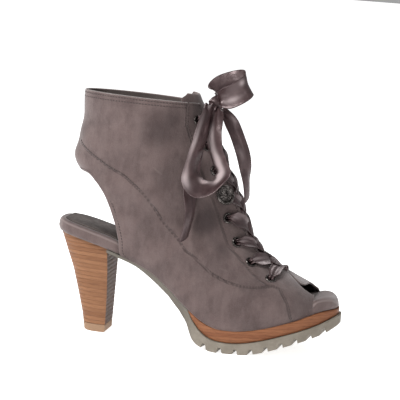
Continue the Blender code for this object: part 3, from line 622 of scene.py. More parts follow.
@dataclass(frozen=True)
class Lining(Finish):
    """Smooth pale brown lining leather with fine pores, its colour darkened in part as painted shade."""

    name: str = "lining"
    # Both colours are darker than the leather's own, partly as painted shade for the sock in the seat.
    tone: Colour = (0.095, 0.076, 0.070)
    dark: Colour = (0.060, 0.047, 0.043)

    def paint(self) -> Paint:
        """Wires the material."""
        paint = Paint(self.name)
        paint.colour(paint.blend(paint.ramp(paint.noise(60, 4), 0.3, 0.7), self.tone, self.dark))
        paint.gloss(paint.ramp(paint.noise(300, 2), 0.3, 0.7, 0.62, 0.8))
        paint.steady(Specular_IOR_Level=0.3)
        paint.bump((paint.noise(1500, 3), 0.00012))
        return paint


@dataclass(frozen=True)
class StackedWood(Finish):
    """Lacquered layers, each a little lighter or darker than the next, with painted shade on the forward
    face.
    """

    name: str = "stacked_wood"
    light: Colour = (0.27, 0.132, 0.068)
    deep: Colour = (0.19, 0.086, 0.043)
    line: Colour = (0.10, 0.042, 0.022)
    layer: float = 3.4 * MM
    slope: float = 0.03
    breast: float = 0.75  # painted shade: how much darker the face that looks forward is painted, as it lies in shade

    def paint(self) -> Paint:
        """Wires the material."""
        paint = Paint(self.name)
        axes = paint.axes(paint.place)
        wave = paint.noise(26, 2, 0.5, paint.stretch(1, 1, 0.3))
        height = paint.sum("ADD", axes["Z"], paint.sum("MULTIPLY", axes["X"], self.slope))
        height = paint.sum("ADD", height, paint.sum("MULTIPLY", wave, 1.2 * MM))
        place = paint.sum("DIVIDE", height, self.layer)
        within = paint.sum("FRACT", place, 0.0)
        number = paint.sum("FLOOR", place, 0.0)
        chance = paint.nodes.new("ShaderNodeTexWhiteNoise")
        chance.noise_dimensions = "1D"
        paint.wire(chance.inputs["W"], number)
        grain = paint.noise(900, 3, 0.6, paint.stretch(0.12, 0.12, 1))
        fine = paint.noise(2600, 2, 0.6, paint.stretch(0.05, 0.05, 1))
        picked = paint.sum("MULTIPLY", chance.outputs["Value"], 0.42)
        share = paint.sum("ADD", picked, paint.sum("MULTIPLY", grain, 0.7))
        tone = paint.blend(paint.ramp(share, 0.15, 0.95), self.deep, self.light)
        tone = paint.blend(paint.ramp(fine, 0.42, 0.75, 0.0, 0.5), tone, self.line)
        edge = paint.ramp(paint.sum("ABSOLUTE", paint.sum("SUBTRACT", within, 0.5), 0.0), 0.4, 0.5, 0.0, 0.42)
        tone = paint.blend(edge, tone, self.line)
        # Painted shade: the face that looks towards the toe is darkened, as it lies in shade.
        painted_breast_shade = paint.ramp(self.forward(paint), 0.55, 0.9, 0.0, self.breast)
        tone = paint.blend(painted_breast_shade, tone, self.line, "MULTIPLY")
        paint.colour(tone)
        paint.gloss(paint.ramp(grain, 0.3, 0.7, 0.45, 0.6))
        paint.steady(Specular_IOR_Level=0.14)
        paint.bump((grain, 0.00018), (edge, -0.0003))
        return paint

    def forward(self, paint: Paint) -> bpy.types.NodeSocket:
        """How far the surface looks towards the toe."""
        facing = paint.nodes.new("ShaderNodeSeparateXYZ")
        paint.wire(facing.inputs[0], paint.nodes.new("ShaderNodeTexCoord").outputs["Normal"])
        return facing.outputs["X"]


@dataclass(frozen=True)
class Rubber(Finish):
    """Moulded rubber with a fine matt skin and dusty hollows."""

    name: str = "sole_rubber"
    tone: Colour = (0.185, 0.160, 0.128)
    dust: Colour = (0.265, 0.235, 0.195)
    arch: Colour = (0.095, 0.085, 0.072)

    def paint(self) -> Paint:
        """Wires the material."""
        paint = Paint(self.name)
        cloud = paint.ramp(paint.noise(90, 4, 0.6), 0.35, 0.7)
        axes = paint.axes(paint.place)
        # Darker towards the heel, under the arch.
        thin = paint.ramp(axes["X"], 0.078, 0.096, 0.75, 0.0)
        tone = paint.blend(paint.ramp(cloud, 0.0, 1.0, 0.0, 0.45), self.tone, self.dust)
        paint.colour(paint.blend(thin, tone, self.arch))
        paint.gloss(paint.ramp(paint.noise(400, 3), 0.3, 0.7, 0.58, 0.75))
        paint.steady(Specular_IOR_Level=0.35)
        paint.bump((paint.noise(1800, 3), 0.00015), (paint.noise(120, 3), 0.0003))
        return paint


@dataclass(frozen=True)
class Satin(Finish):
    """Close-woven ribbon: dark body, with painted highlights where it would catch the light."""

    name: str = "satin"
    tone: Colour = (0.050, 0.028, 0.029)
    bright: Colour = (0.10, 0.062, 0.062)
    gleam: Colour = (0.62, 0.52, 0.52)  # painted highlight: the colour where the ribbon would catch the light

    def paint(self) -> Paint:
        """Wires the material."""
        paint = Paint(self.name)
        cloud = paint.ramp(paint.noise(120, 3, 0.55), 0.35, 0.7)
        tone = paint.blend(paint.ramp(cloud, 0.0, 1.0, 0.0, 0.35), self.tone, self.bright)
        # Painted highlight: lifted towards the bright colour where the layer marks it.
        paint.colour(paint.blend(paint.ramp(paint.mark("gleam"), 0.0, 1.0), tone, self.gleam))
        paint.gloss(paint.ramp(paint.noise(300, 3), 0.3, 0.7, 0.3, 0.42))
        paint.steady(Metallic=0.3, Specular_IOR_Level=0.9, Specular_Tint=(0.95, 0.86, 0.86))
        paint.bump((paint.noise(220, 3, 0.5), 0.0003), (paint.noise(4200, 2), 0.00005))
        return paint


@dataclass(frozen=True)
class DarkNickel(Finish):
    """Dark plated metal, rubbed brighter in places."""

    name: str = "dark_nickel"
    tone: Colour = (0.040, 0.035, 0.033)
    rubbed: Colour = (0.20, 0.18, 0.17)

    def paint(self) -> Paint:
        """Wires the material."""
        paint = Paint(self.name)
        rub = paint.ramp(paint.noise(420, 4, 0.6), 0.42, 0.72)
        paint.colour(paint.blend(rub, self.tone, self.rubbed))
        paint.gloss(paint.ramp(paint.noise(700, 3), 0.3, 0.7, 0.2, 0.38))
        paint.steady(Metallic=1.0)
        paint.bump((paint.noise(900, 3), 0.00008))
        return paint


@dataclass(frozen=True)
class ZipTape(Finish):
    """Woven tape."""

    name: str = "zip_tape"
    tone: Colour = (0.075, 0.058, 0.054)
    dark: Colour = (0.03, 0.022, 0.021)

    def paint(self) -> Paint:
        """Wires the material."""
        paint = Paint(self.name)
        weave = paint.nodes.new("ShaderNodeTexWave")
        weave.inputs["Scale"].default_value = 700
        paint.wire(weave.inputs["Vector"], paint.place)
        paint.colour(paint.blend(weave.outputs["Fac"], self.dark, self.tone))
        paint.gloss(paint.ramp(paint.noise(600, 2), 0.3, 0.7, 0.75, 0.9))
        paint.bump((weave.outputs["Fac"], 0.0002))
        return paint


@dataclass(frozen=True)
class Thread(Finish):
    """Waxed sewing thread."""

    name: str = "thread"
    tone: Colour = (0.060, 0.040, 0.037)
    dark: Colour = (0.022, 0.014, 0.013)

    def paint(self) -> Paint:
        """Wires the material."""
        paint = Paint(self.name)
        paint.colour(paint.blend(paint.noise(2500, 2), self.dark, self.tone))
        paint.gloss(paint.ramp(paint.noise(900, 2), 0.3, 0.7, 0.5, 0.7))
        paint.bump((paint.noise(5000, 2), 0.00006))
        return paint


@dataclass(frozen=True)
class PaleFloor(Finish):
    """Plain pale backdrop paper."""

    name: str = "pale_floor"
    tone: Colour = (0.93, 0.93, 0.93)
    other: Colour = (0.91, 0.91, 0.91)
    glow: float = 0.78

    def paint(self) -> Paint:
        """Wires the material."""
        paint = Paint(self.name)
        paint.colour(paint.blend(paint.noise(3, 2), self.tone, self.other))
        paint.gloss(0.9)
        paint.steady(Emission_Color=(1.0, 1.0, 1.0), Emission_Strength=self.glow)
        paint.bump((paint.noise(400, 2), 0.00002))
        return paint


NUBUCK, LINING, WOOD, RUBBER, SATIN = Nubuck(), Lining(), StackedWood(), Rubber(), Satin()
NICKEL, TAPE, THREAD = DarkNickel(), ZipTape(), Thread()
PLATFORM_WOOD = StackedWood(
    "platform_wood", (0.27, 0.115, 0.056), (0.19, 0.073, 0.036), (0.10, 0.034, 0.017), 2.6 * MM, -0.03, 0.0
)


# Studio


@dataclass(frozen=True)
class Studio:
    """The camera, the pale floor and the soft lights."""

    azimuth: float = 9.0
    elevation: float = 7.1
    roll: float = 4.35  # degrees that the picture's content leans clockwise
    distance: float = 1.5
    target: tuple[float, float, float] = (0.0795, 0.007, 0.116)
    focal: float = 1800.0  # pixels
    sensor: float = 36.0
    world: float = 0.36
    lamps: tuple[tuple[tuple[float, float, float], float, float], ...] = (
        ((-1.0, -1.15, 1.35), 0.7, 38.0),
        ((1.5, -1.2, 1.0), 0.8, 4.0),
        ((0.2, 1.4, 1.5), 1.2, 13.0),
    )

    def build(self) -> None:
        """Sets up the view."""
        self.set_camera()
        self.lay_floor()
        for number, (place, size, power) in enumerate(self.lamps):
            self.hang_lamp(number, Vector(place), size, power)
        world = bpy.data.worlds.new("studio")
        bpy.context.scene.world = world
        world.use_nodes = True
        light = world.node_tree.nodes["Background"]
        light.inputs["Color"].default_value = (1.0, 1.0, 1.0, 1.0)
        light.inputs["Strength"].default_value = self.world
        bpy.context.scene.view_settings.view_transform = "Standard"

    def set_camera(self) -> None:
        """Puts the camera where the picture was taken from."""
        a, e, r = (math.radians(v) for v in (self.azimuth, self.elevation, self.roll))
        back = Vector((math.sin(a) * math.cos(e), -math.cos(a) * math.cos(e), math.sin(e)))
        level = (-back).cross(Vector((0, 0, 1))).normalized()
        upright = level.cross(-back)
        right = level * math.cos(r) + upright * math.sin(r)
        up = upright * math.cos(r) - level * math.sin(r)
        camera = bpy.data.objects.new("camera", bpy.data.cameras.new("camera"))
        bpy.context.scene.collection.objects.link(camera)
        place = Matrix((right, up, back)).transposed().to_4x4()
        place.translation = Vector(self.target) + back * self.distance
        camera.matrix_world = place
        camera.data.sensor_width = self.sensor
        camera.data.lens = self.focal * self.sensor / IMAGE_WIDTH
        camera.data.clip_start, camera.data.clip_end = 0.05, 50.0
        bpy.context.scene.camera = camera

    def lay_floor(self) -> None:
        """Lays the floor at Z = 0."""
        shape = Shape()
        side = np.linspace(-40, 40, 9)
        x, y = np.meshgrid(side, side, indexing="ij")
        shape.grid(np.stack([x, y, np.full_like(x, -0.0002)], axis=-1))
        floor = shape.mesh("floor")
        floor.data.materials.append(PaleFloor().material())

    def hang_lamp(self, number: int, place: Vector, size: float, power: float) -> None:
        """Hangs one soft lamp that looks at the boot.

        Args:
            number: Number in its name.
            place: Where it hangs.
            size: Width of its panel.
            power: In watts.
        """
        data = bpy.data.lights.new(f"lamp_{number}", "AREA")
        data.shape, data.size, data.energy = "DISK", size, power
        lamp = bpy.data.objects.new(f"lamp_{number}", data)
        lamp.location = place
        lamp.rotation_euler = (Vector(self.target) - place).to_track_quat("-Z", "Y").to_euler()
        bpy.context.scene.collection.objects.link(lamp)


@dataclass(frozen=True)
class Ribbon:
    """A satin ribbon, as wide as it was woven; where it shows narrower, it is pleated lengthwise."""

    woven: float = 20.0 * MM
    thick: float = 0.4 * MM
    pleat: float = 1.3 * MM  # depth of its pleats where it is drawn tightest
    pleats: float = 2.0  # across its width
    columns: int = 25

    def sheet(
        self, path: np.ndarray, wide: np.ndarray, shown: np.ndarray, cup: np.ndarray, phase: np.ndarray
    ) -> np.ndarray:
        """The ribbon's surface along a path.

        Args:
            path: Points along its middle.
            wide: The way its width runs at each point.
            shown: Its width there as it shows.
            cup: How far its middle stands proud of its edges there.
            phase: Where its pleats sit across it, in turns.

        Returns:
            Points of shape (path, columns, 3).
        """
        along = unit(np.gradient(path, axis=0))
        across = unit(wide - along * (wide * along).sum(-1, keepdims=True))
        up = np.cross(across, along)
        share = np.linspace(-1, 1, self.columns)
        depth = self.pleat * np.clip(1.15 * (1 - shown / self.woven), 0.06, 1.0)
        turn = 2 * np.pi * (self.pleats * share[None, :] / 2 + phase[:, None])
        rise = cup[:, None] * (0.5 - share[None, :] ** 2) + depth[:, None] * np.sin(turn)
        flat = shown[:, None] / 2 * share[None, :]
        return path[:, None] + across[:, None] * flat[..., None] + up[:, None] * rise[..., None]

    def build(self, name: str, surface: np.ndarray, gleam: object = 0.0) -> bpy.types.Object:
        """Makes the piece from its surface, with how much painted highlight each point of it carries."""
        shape = Shape()
        shape.grid(surface, gleam=np.broadcast_to(gleam, surface.shape[:2]).reshape(-1))
        obj = shape.mesh(name)
        thicken(obj, self.thick)
        return obj


@dataclass(frozen=True)
class Run:
    """One loop or end of the bow: its route, and how the ribbon is shaped along it.

    A point is (x, y, z, lean, turn): its width runs lean degrees from +X towards +Z seen from the side, and
    turn degrees out of that view. cup is set at even places along the run, and phase goes from one to two. A
    painted highlight is its share along, its centre and reach across, its strength, and its reach along.
    """

    name: str
    points: tuple[tuple[float, ...], ...]
    cup: tuple[float, ...]
    phase: tuple[float, float]
    returns: bool
    diameter: float
    woven: float
    reach: float  # from the knot to where the ribbon lies open, in millimetres
    gleams: tuple[tuple[float, float, float, float, float], ...]


@dataclass(frozen=True)
class Bow:
    """The knot at the top of the lacing with its two loops and two ends."""

    knot_at: tuple[float, float, float] = (88.4, -4.2, 197.6)
    knot_half: tuple[float, float, float] = (6.0, 6.0, 7.0)
    root_lift: float = 0.6
    gathered: float = 0.34  # share of the ribbon's width at the knot
    steps: int = 10  # along a run, between two points of its table
    runs: tuple[Run, ...] = (
        Run(
            "lace_loop_up",
            (
                (93.6, -12.0, 202.0, 100, 5), (100.3, -14.5, 204.7, 112, 8),
                (107.4, -14.5, 208.5, 115, 8), (112.8, -11.5, 212.9, 115, 5),
                (114.1, -5.0, 216.4, 114, 0), (109.7, 1.5, 218.2, 114, -5), (102.4, 4.0, 217.0, 112, -8),
                (93.4, 3.0, 213.6, 108, -8), (87.0, 1.0, 209.0, 104, -5),
            ),
            (0.8, 2.4, 3.0, 2.2, 0.6, 0.8, 1.8, 2.0, 0.8), (0.1, 0.45), True, 11.9 * MM, 18.6 * MM,
            18.0,
            (
                (0.22, -0.35, 0.3, 0.45, 0.12), (0.14, 0.3, 0.25, 0.25, 0.06), (0.41, 0.6, 0.3, 0.5, 0.05),
                (0.6, 0.2, 0.5, 0.25, 0.07),
            ),
        ),
        Run(
            "lace_loop_down",
            (
                (85.9, -17.5, 195.8, 180, 60), (85.9, -26.0, 189.0, 170, 68),
                (83.6, -37.0, 172.0, 158, 67), (80.6, -39.3, 159.9, 156, 66),
                (77.8, -40.4, 147.0, 170, 66), (78.8, -41.0, 137.9, 215, 48),
                (84.7, -41.0, 132.0, 250, 42), (93.0, -40.0, 132.6, 270, 56),
                (100.2, -38.0, 137.6, 300, 66), (103.0, -35.0, 145.4, 335, 46),
                (98.8, -33.0, 154.0, 355, 44), (94.4, -31.5, 163.7, 362, 46),
                (92.0, -28.7, 175.5, 366, 44), (91.8, -23.6, 185.0, 370, 34),
                (91.6, -17.4, 191.7, 368, 20),
            ),
            (0.8, 1.4, 1.6, 1.0, 0.4, 0.2, 0.2, 0.4, 1.0, 1.6, 1.8, 1.6, 0.8), (0.3, 0.9), True,
            13.2 * MM, 20 * MM, 40.0,
            (
                (0.22, 0.75, 0.3, 0.55, 0.09), (0.36, 0.6, 0.4, 0.8, 0.045), (0.46, -0.75, 0.28, 0.9, 0.07),
                (0.58, -0.3, 0.5, 0.95, 0.05), (0.68, -0.1, 0.55, 1.0, 0.07), (0.8, -0.25, 0.45, 0.75, 0.06),
            ),
        ),
        Run(
            "lace_end_side",
            (
                (85.6, -15.2, 187.6, 180, 55), (83.4, -20.5, 184.5, 182, 55),
                (81.6, -24.8, 177.0, 184, 52), (80.6, -27.8, 168.0, 186, 44),
                (79.3, -28.9, 155.9, 188, 34), (77.4, -30.4, 141.2, 186, 28),
                (76.9, -32.2, 128.3, 184, 40), (78.5, -34.7, 117.2, 186, 54),
                (79.2, -36.7, 107.7, 200, 62), (77.8, -38.2, 97.1, 205, 64),
                (75.5, -39.2, 85.5, 205, 60),
            ),
            (0.6, 1.0, 1.4, 1.2, 0.8, 1.2, 1.4, 1.0), (0.0, 0.5), False, 10 * MM, 12 * MM,
            40.0, ((0.12, 0.0, 0.4, 0.3, 0.06), (0.6, 0.5, 0.3, 0.25, 0.06)),
        ),
        Run(
            "lace_end_front",
            (
                (97.4, -7.2, 191.0, 226, 18), (102.2, -8.4, 185.4, 216, 20),
                (107.0, -9.0, 177.6, 205, 28), (111.5, -10.0, 168.3, 195, 28),
                (115.3, -10.0, 158.7, 184, 26), (117.8, -10.0, 149.0, 178, 40),
                (119.2, -10.0, 139.2, 176, 66), (120.6, -10.0, 130.1, 176, 74),
                (121.6, -10.0, 119.5, 176, 78),
            ),
            (0.6, 1.2, 1.6, 1.4, 0.8, 0.8), (0.2, 0.6), False, 10 * MM, 12 * MM,
            24.0, ((0.22, -0.5, 0.35, 0.3, 0.08), (0.55, 0.3, 0.4, 0.25, 0.08)),
        ),
    )

    def knot_side(self, towards: np.ndarray) -> np.ndarray:
        """The point just off the knot's skin on the way to another point."""
        centre, half = np.array(self.knot_at), np.array(self.knot_half)
        way = unit(towards - centre)
        return centre + way * (1 / np.sqrt(((way / half) ** 2).sum()) + self.root_lift)

    def route(self, run: Run) -> tuple[np.ndarray, np.ndarray]:
        """A run's middle line and the way its width runs, both in metres."""
        table = np.array(run.points, float)
        spots, leans, turns = table[:, :3], table[:, 3], table[:, 4]
        spots = np.vstack([self.knot_side(spots[0]), spots])
        leans, turns = np.append(leans[0], leans), np.append(turns[0], turns)
        if run.returns:
            spots = np.vstack([spots, self.knot_side(spots[-1])])
            leans, turns = np.append(leans, leans[-1]), np.append(turns, turns[-1])
        places = np.linspace(0, len(spots) - 1, self.steps * (len(spots) - 1) + 1)
        lean, turn = np.radians(cubic(leans, places)), np.radians(cubic(turns, places))
        wide = np.stack([np.cos(lean) * np.cos(turn), -np.sin(turn), np.sin(lean) * np.cos(turn)], axis=1)
        return cubic(spots, places) * MM, wide

    def build(self) -> None:
        """Makes the loops, the ends and the knot."""
        knot = self.build_knot()
        for run in self.runs:
            path, wide = self.route(run)
            far = np.linalg.norm(path - np.array(self.knot_at) * MM, axis=1)
            shown = run.woven * (self.gathered + (1 - self.gathered) * smooth(far / (run.reach * MM)))
            share = np.linspace(0, 1, len(path))
            cup = cubic(np.array(run.cup), share * (len(run.cup) - 1)) * MM
            ribbon = Ribbon(woven=run.woven)
            surface = ribbon.sheet(path, wide, shown, cup, np.interp(share, (0, 1), run.phase))
            if not run.returns:
                surface = self.cut_end(surface)
            painted_shine = self.painted_shine(run, surface.shape[:2])
            piece = settle(ribbon.build(run.name + "_ribbon", surface, painted_shine), SATIN, Slot.SATIN, run.name)
            round(line_length(path), 3)

    def painted_shine(self, run: Run, size: tuple[int, int]) -> np.ndarray:
        """How much painted highlight each point of a run carries, from its table of painted highlights."""
        along = np.linspace(0, 1, size[0])[:, None]
        across = np.linspace(-1, 1, size[1])[None, :]
        total = np.zeros(size)
        for place, centre, wide, strength, long in run.gleams:
            total += strength * np.exp(-(((along - place) / long) ** 2) - ((across - centre) / wide) ** 2)
        return np.minimum(total, 1.0)

    def cut_end(self, surface: np.ndarray) -> np.ndarray:
        """The ribbon with its free end cut on the slant."""
        share = np.linspace(0, 1, surface.shape[1])
        rows = np.arange(len(surface))
        last = len(rows) - 1
        slant = np.clip(rows - (last - 8), 0, 8)[:, None] / 8
        back = slant * 8 * (1 - share)[None, :] * 0.7
        place = rows[:, None] - back
        low = np.clip(np.floor(place).astype(int), 0, last - 1)
        part = (place - low)[..., None]
        column = np.arange(surface.shape[1])[None, :]
        return surface[low, column] * (1 - part) + surface[low + 1, column] * part

    def build_knot(self) -> bpy.types.Object:
        """The knot: a pleated band drawn round a tight core."""
        turns = np.linspace(0, 2 * np.pi, 96, endpoint=False)
        heights = np.linspace(-np.pi / 2, np.pi / 2, 45)
        lift, turn = np.meshgrid(heights, turns, indexing="ij")
        slant = lift + 0.55 * np.sin(turn + 0.6)
        pleat = 0.055 * np.cos(7 * slant) + 0.03 * np.cos(13 * slant + 2 * turn)
        band = 0.12 * (smooth((slant + 0.75) / 0.12) - smooth((slant - 0.7) / 0.12))
        size = 0.9 + (pleat + band) * np.cos(lift)
        half = np.array(self.knot_half) * MM
        points = np.stack([
            half[0] * size * np.cos(lift) * np.cos(turn),
            half[1] * size * np.cos(lift) * np.sin(turn),
            half[2] * np.sin(lift) * (1 + 0.04 * np.cos(3 * turn)),
        ], axis=-1) + np.array(self.knot_at) * MM
        shape = Shape()
        # Painted highlight along the knot's pleats.
        painted_shine = 0.55 * smooth((np.cos(7 * slant) - 0.2) / 0.6) * smooth((np.sin(2 * turn + 1.0) + 0.2) / 0.8)
        shape.grid(points, closed=True, gleam=painted_shine.reshape(-1))
        obj = shape.mesh("lace_knot_wrap", weld=0.01 * MM)
        face_outwards(obj)
        return settle(obj, SATIN, Slot.SATIN, "lace_knot")


@dataclass(frozen=True)
class Lacing:
    """The ribbon through the eyelets: in from outside, under the facing, and over to the next pair up."""

    rows: tuple[float, ...] = (1.2, 2.8, 4.4, 7.3, 9.5, 11.9, 14.7, 17.5)
    turns: tuple[float, ...] = (32.0, 32.0, 32.0, 33.5, 35.0, 33.5, 36.0, 33.5)
    widths: tuple[float, ...] = (8.0, 8.5, 9.0, 11.0, 12.5, 9.5, 12.5, 10.0)  # of the run into each eyelet
    woven: float = 14.0
    bunched: float = 4.4  # width in an eyelet
    narrow: float = 0.27  # share of the way to the ridge where it is bunched
    steps: int = 48
    goal: tuple[float, float, float] = (88.4, -4.2, 197.6)

    def over(self, side: Side, eyelet: int) -> None:
        """One run: from under the other side's facing, over the throat and into an eyelet.

        Args:
            side: The side of the eyelet that it goes into.
            eyelet: The eyelet's number from the collar.
        """
        lowest = eyelet == len(self.rows) - 1
        start_at = eyelet if lowest else eyelet + 1
        from_row, from_turn = self.rows[start_at] - (1.0 if lowest else 0.0), self.turns[start_at]
        row, turn = self.rows[eyelet], self.turns[eyelet]
        above = 0.0 if side is Side.OUTER else 0.9
        facing = max(float(LAST.front(np.array(row))), 6.0)
        start = max(float(LAST.front(np.array(from_row))), 6.0)
        if lowest:
            line = [
                (share * turn, back, lift) for share, back, lift in (
                    (-1.0, 0.0, 2.6), (-0.55, 0.4, 2.2), (0.0, 0.65, 1.7), (0.5, 0.5, 2.3), (0.85, 0.1, 2.8),
                    (1.0, 0.0, 2.2), (1.02, 0.0, -2.4),
                )
            ]
        else:
            line = [
                (-from_turn * 0.95, 1.0, -2.4),
                (-start * 1.25, 0.95, -2.3),
                (-start * 0.8, 0.88, -1.2),
                (0.0, 0.58, above - 0.2),
                (facing * 0.8, 0.32, above + 1.2),
                (facing * 1.25, 0.18, above * 0.5 + 1.7),
                (turn * 0.86, 0.03, 2.7),
                (turn * 0.99, 0.0, 1.9),
                (turn * 1.01, 0.0, -2.4),
            ]
        knots = np.array(line)
        places = np.linspace(0, len(knots) - 1, self.steps)
        turned, back, lift = (cubic(knots[:, k], places) for k in range(3))
        down = row + back * (from_row - row)
        path = LAST.lifted(down, turned * side.value, lift * MM)
        _, _, way, _ = LAST.frame(down, turned * side.value)
        open_out = smooth(np.abs(turned - turn) / (self.narrow * turn))
        if lowest:
            open_out = open_out * smooth(np.abs(turned + turn) / (self.narrow * turn))
        width = self.bunched + (self.widths[eyelet] - self.bunched) * open_out
        phase = np.linspace(0.13 * eyelet, 0.13 * eyelet + 0.3, self.steps)
        ribbon = Ribbon(woven=self.woven * MM, pleat=0.9 * MM)
        surface = ribbon.sheet(path, way, width * MM, np.full(self.steps, 1.5 * MM), phase)
        along, across = np.linspace(0, 1, self.steps)[:, None], np.linspace(-1, 1, ribbon.columns)[None, :]
        # Painted highlight on each run over the throat, fainter on the lowest.
        spot = np.exp(-(((along - 0.74) / 0.09) ** 2) - ((across + 0.25) / 0.3) ** 2)
        painted_shine = (0.12 if lowest else 0.38) * spot
        piece = ribbon.build(f"lace_run_{side.name.lower()}_{eyelet + 1}", surface, painted_shine)
        nodes = {(Side.OUTER, 0): ("lace_first",), (Side.INNER, 0): ("lace_second",)}.get((side, eyelet), ())
        settle(piece, SATIN, Slot.SATIN, *nodes)

    def rise(self, side: Side) -> None:
        """The ribbon from a top eyelet up to the knot."""
        start = LAST.lifted(
            np.full(3, self.rows[0]), np.full(3, self.turns[0] * side.value), np.array([-2.0, 1.5, 4.0]) * MM
        )
        goal = np.array(self.goal) * MM
        middle = (start[2] + goal) / 2 + np.array([4.0, side.value * 2.0, -1.0]) * MM
        knots = np.vstack([start, middle, goal])
        path = cubic(knots, np.linspace(0, len(knots) - 1, self.steps))
        share = np.linspace(0, 1, self.steps)
        width = self.bunched + 3.5 * np.sin(np.pi * share)
        ribbon = Ribbon(woven=self.woven * MM, pleat=0.7 * MM)
        way = np.tile([0.5, 0.0, 0.85], (self.steps, 1))
        surface = ribbon.sheet(path, way, width * MM, np.full(self.steps, 0.7 * MM), 0.3 * share)
        settle(ribbon.build(f"lace_rise_{side.name.lower()}", surface), SATIN, Slot.SATIN)

    def build(self) -> None:
        """Makes every run."""
        for side in Side:
            for eyelet in range(len(self.rows)):
                if not (side is Side.INNER and eyelet == len(self.rows) - 1):
                    self.over(side, eyelet)
            self.rise(side)


# Upper and tongue


@dataclass(frozen=True)
class Seam:
    """A seam on the outer side as places (row, degrees), mirrored on the inner side.

    step is how far the panel on the ridge's side stands over the other, and stitch how far the row of
    stitches lies from the seam on that side, both in millimetres.
    """

    points: tuple[tuple[float, float], ...]
    step: float
    stitch: float

    def places(self, side: Side) -> tuple[np.ndarray, np.ndarray]:
        """Even places down and round the last, near one millimetre and a half apart."""
        knots = np.array(self.points)
        at = np.linspace(0, len(knots) - 1, 40 * len(knots))
        rows, turns = cubic(knots[:, 0], at), cubic(knots[:, 1], at)
        skin = LAST.point(rows, turns)
        gone = np.concatenate([[0.0], np.cumsum(np.linalg.norm(np.diff(skin, axis=0), axis=1))])
        even = np.linspace(0, gone[-1], max(int(gone[-1] / (1.2 * MM)), 4))
        return np.interp(even, gone, rows), side.value * np.interp(even, gone, turns)


@dataclass(frozen=True)
class Crease:
    """A soft trough in the upper with low ridges beside it; depth and width in millimetres."""

    points: tuple[tuple[float, float], ...]
    depth: float
    width: float
    sides: tuple[Side, ...] = (Side.OUTER, Side.INNER)


def beside(line: np.ndarray, points: np.ndarray, out: np.ndarray) -> tuple[np.ndarray, np.ndarray]:
    """How far points lie beside a line on the skin.

    Args:
        line: Points along the line.
        points: The points to place.
        out: The skin's normals at them.

    Returns:
        The signed distance of each, and how far each lies past the line's ends.
    """
    nearest = np.empty(len(points), int)
    for start in range(0, len(points), 4000):
        part = points[start:start + 4000]
        nearest[start:start + 4000] = ((part[:, None] - line[None]) ** 2).sum(-1).argmin(1)
    tangent = unit(np.gradient(line, axis=0))[nearest]
    away = points - line[nearest]
    along = (away * tangent).sum(-1)
    flat = np.linalg.norm(away - tangent * along[:, None], axis=-1)
    sign = np.sign((np.cross(tangent, away) * out).sum(-1))
    ends = (nearest == 0) | (nearest == len(line) - 1)
    return sign * flat, np.where(ends, np.abs(along), 0.0)


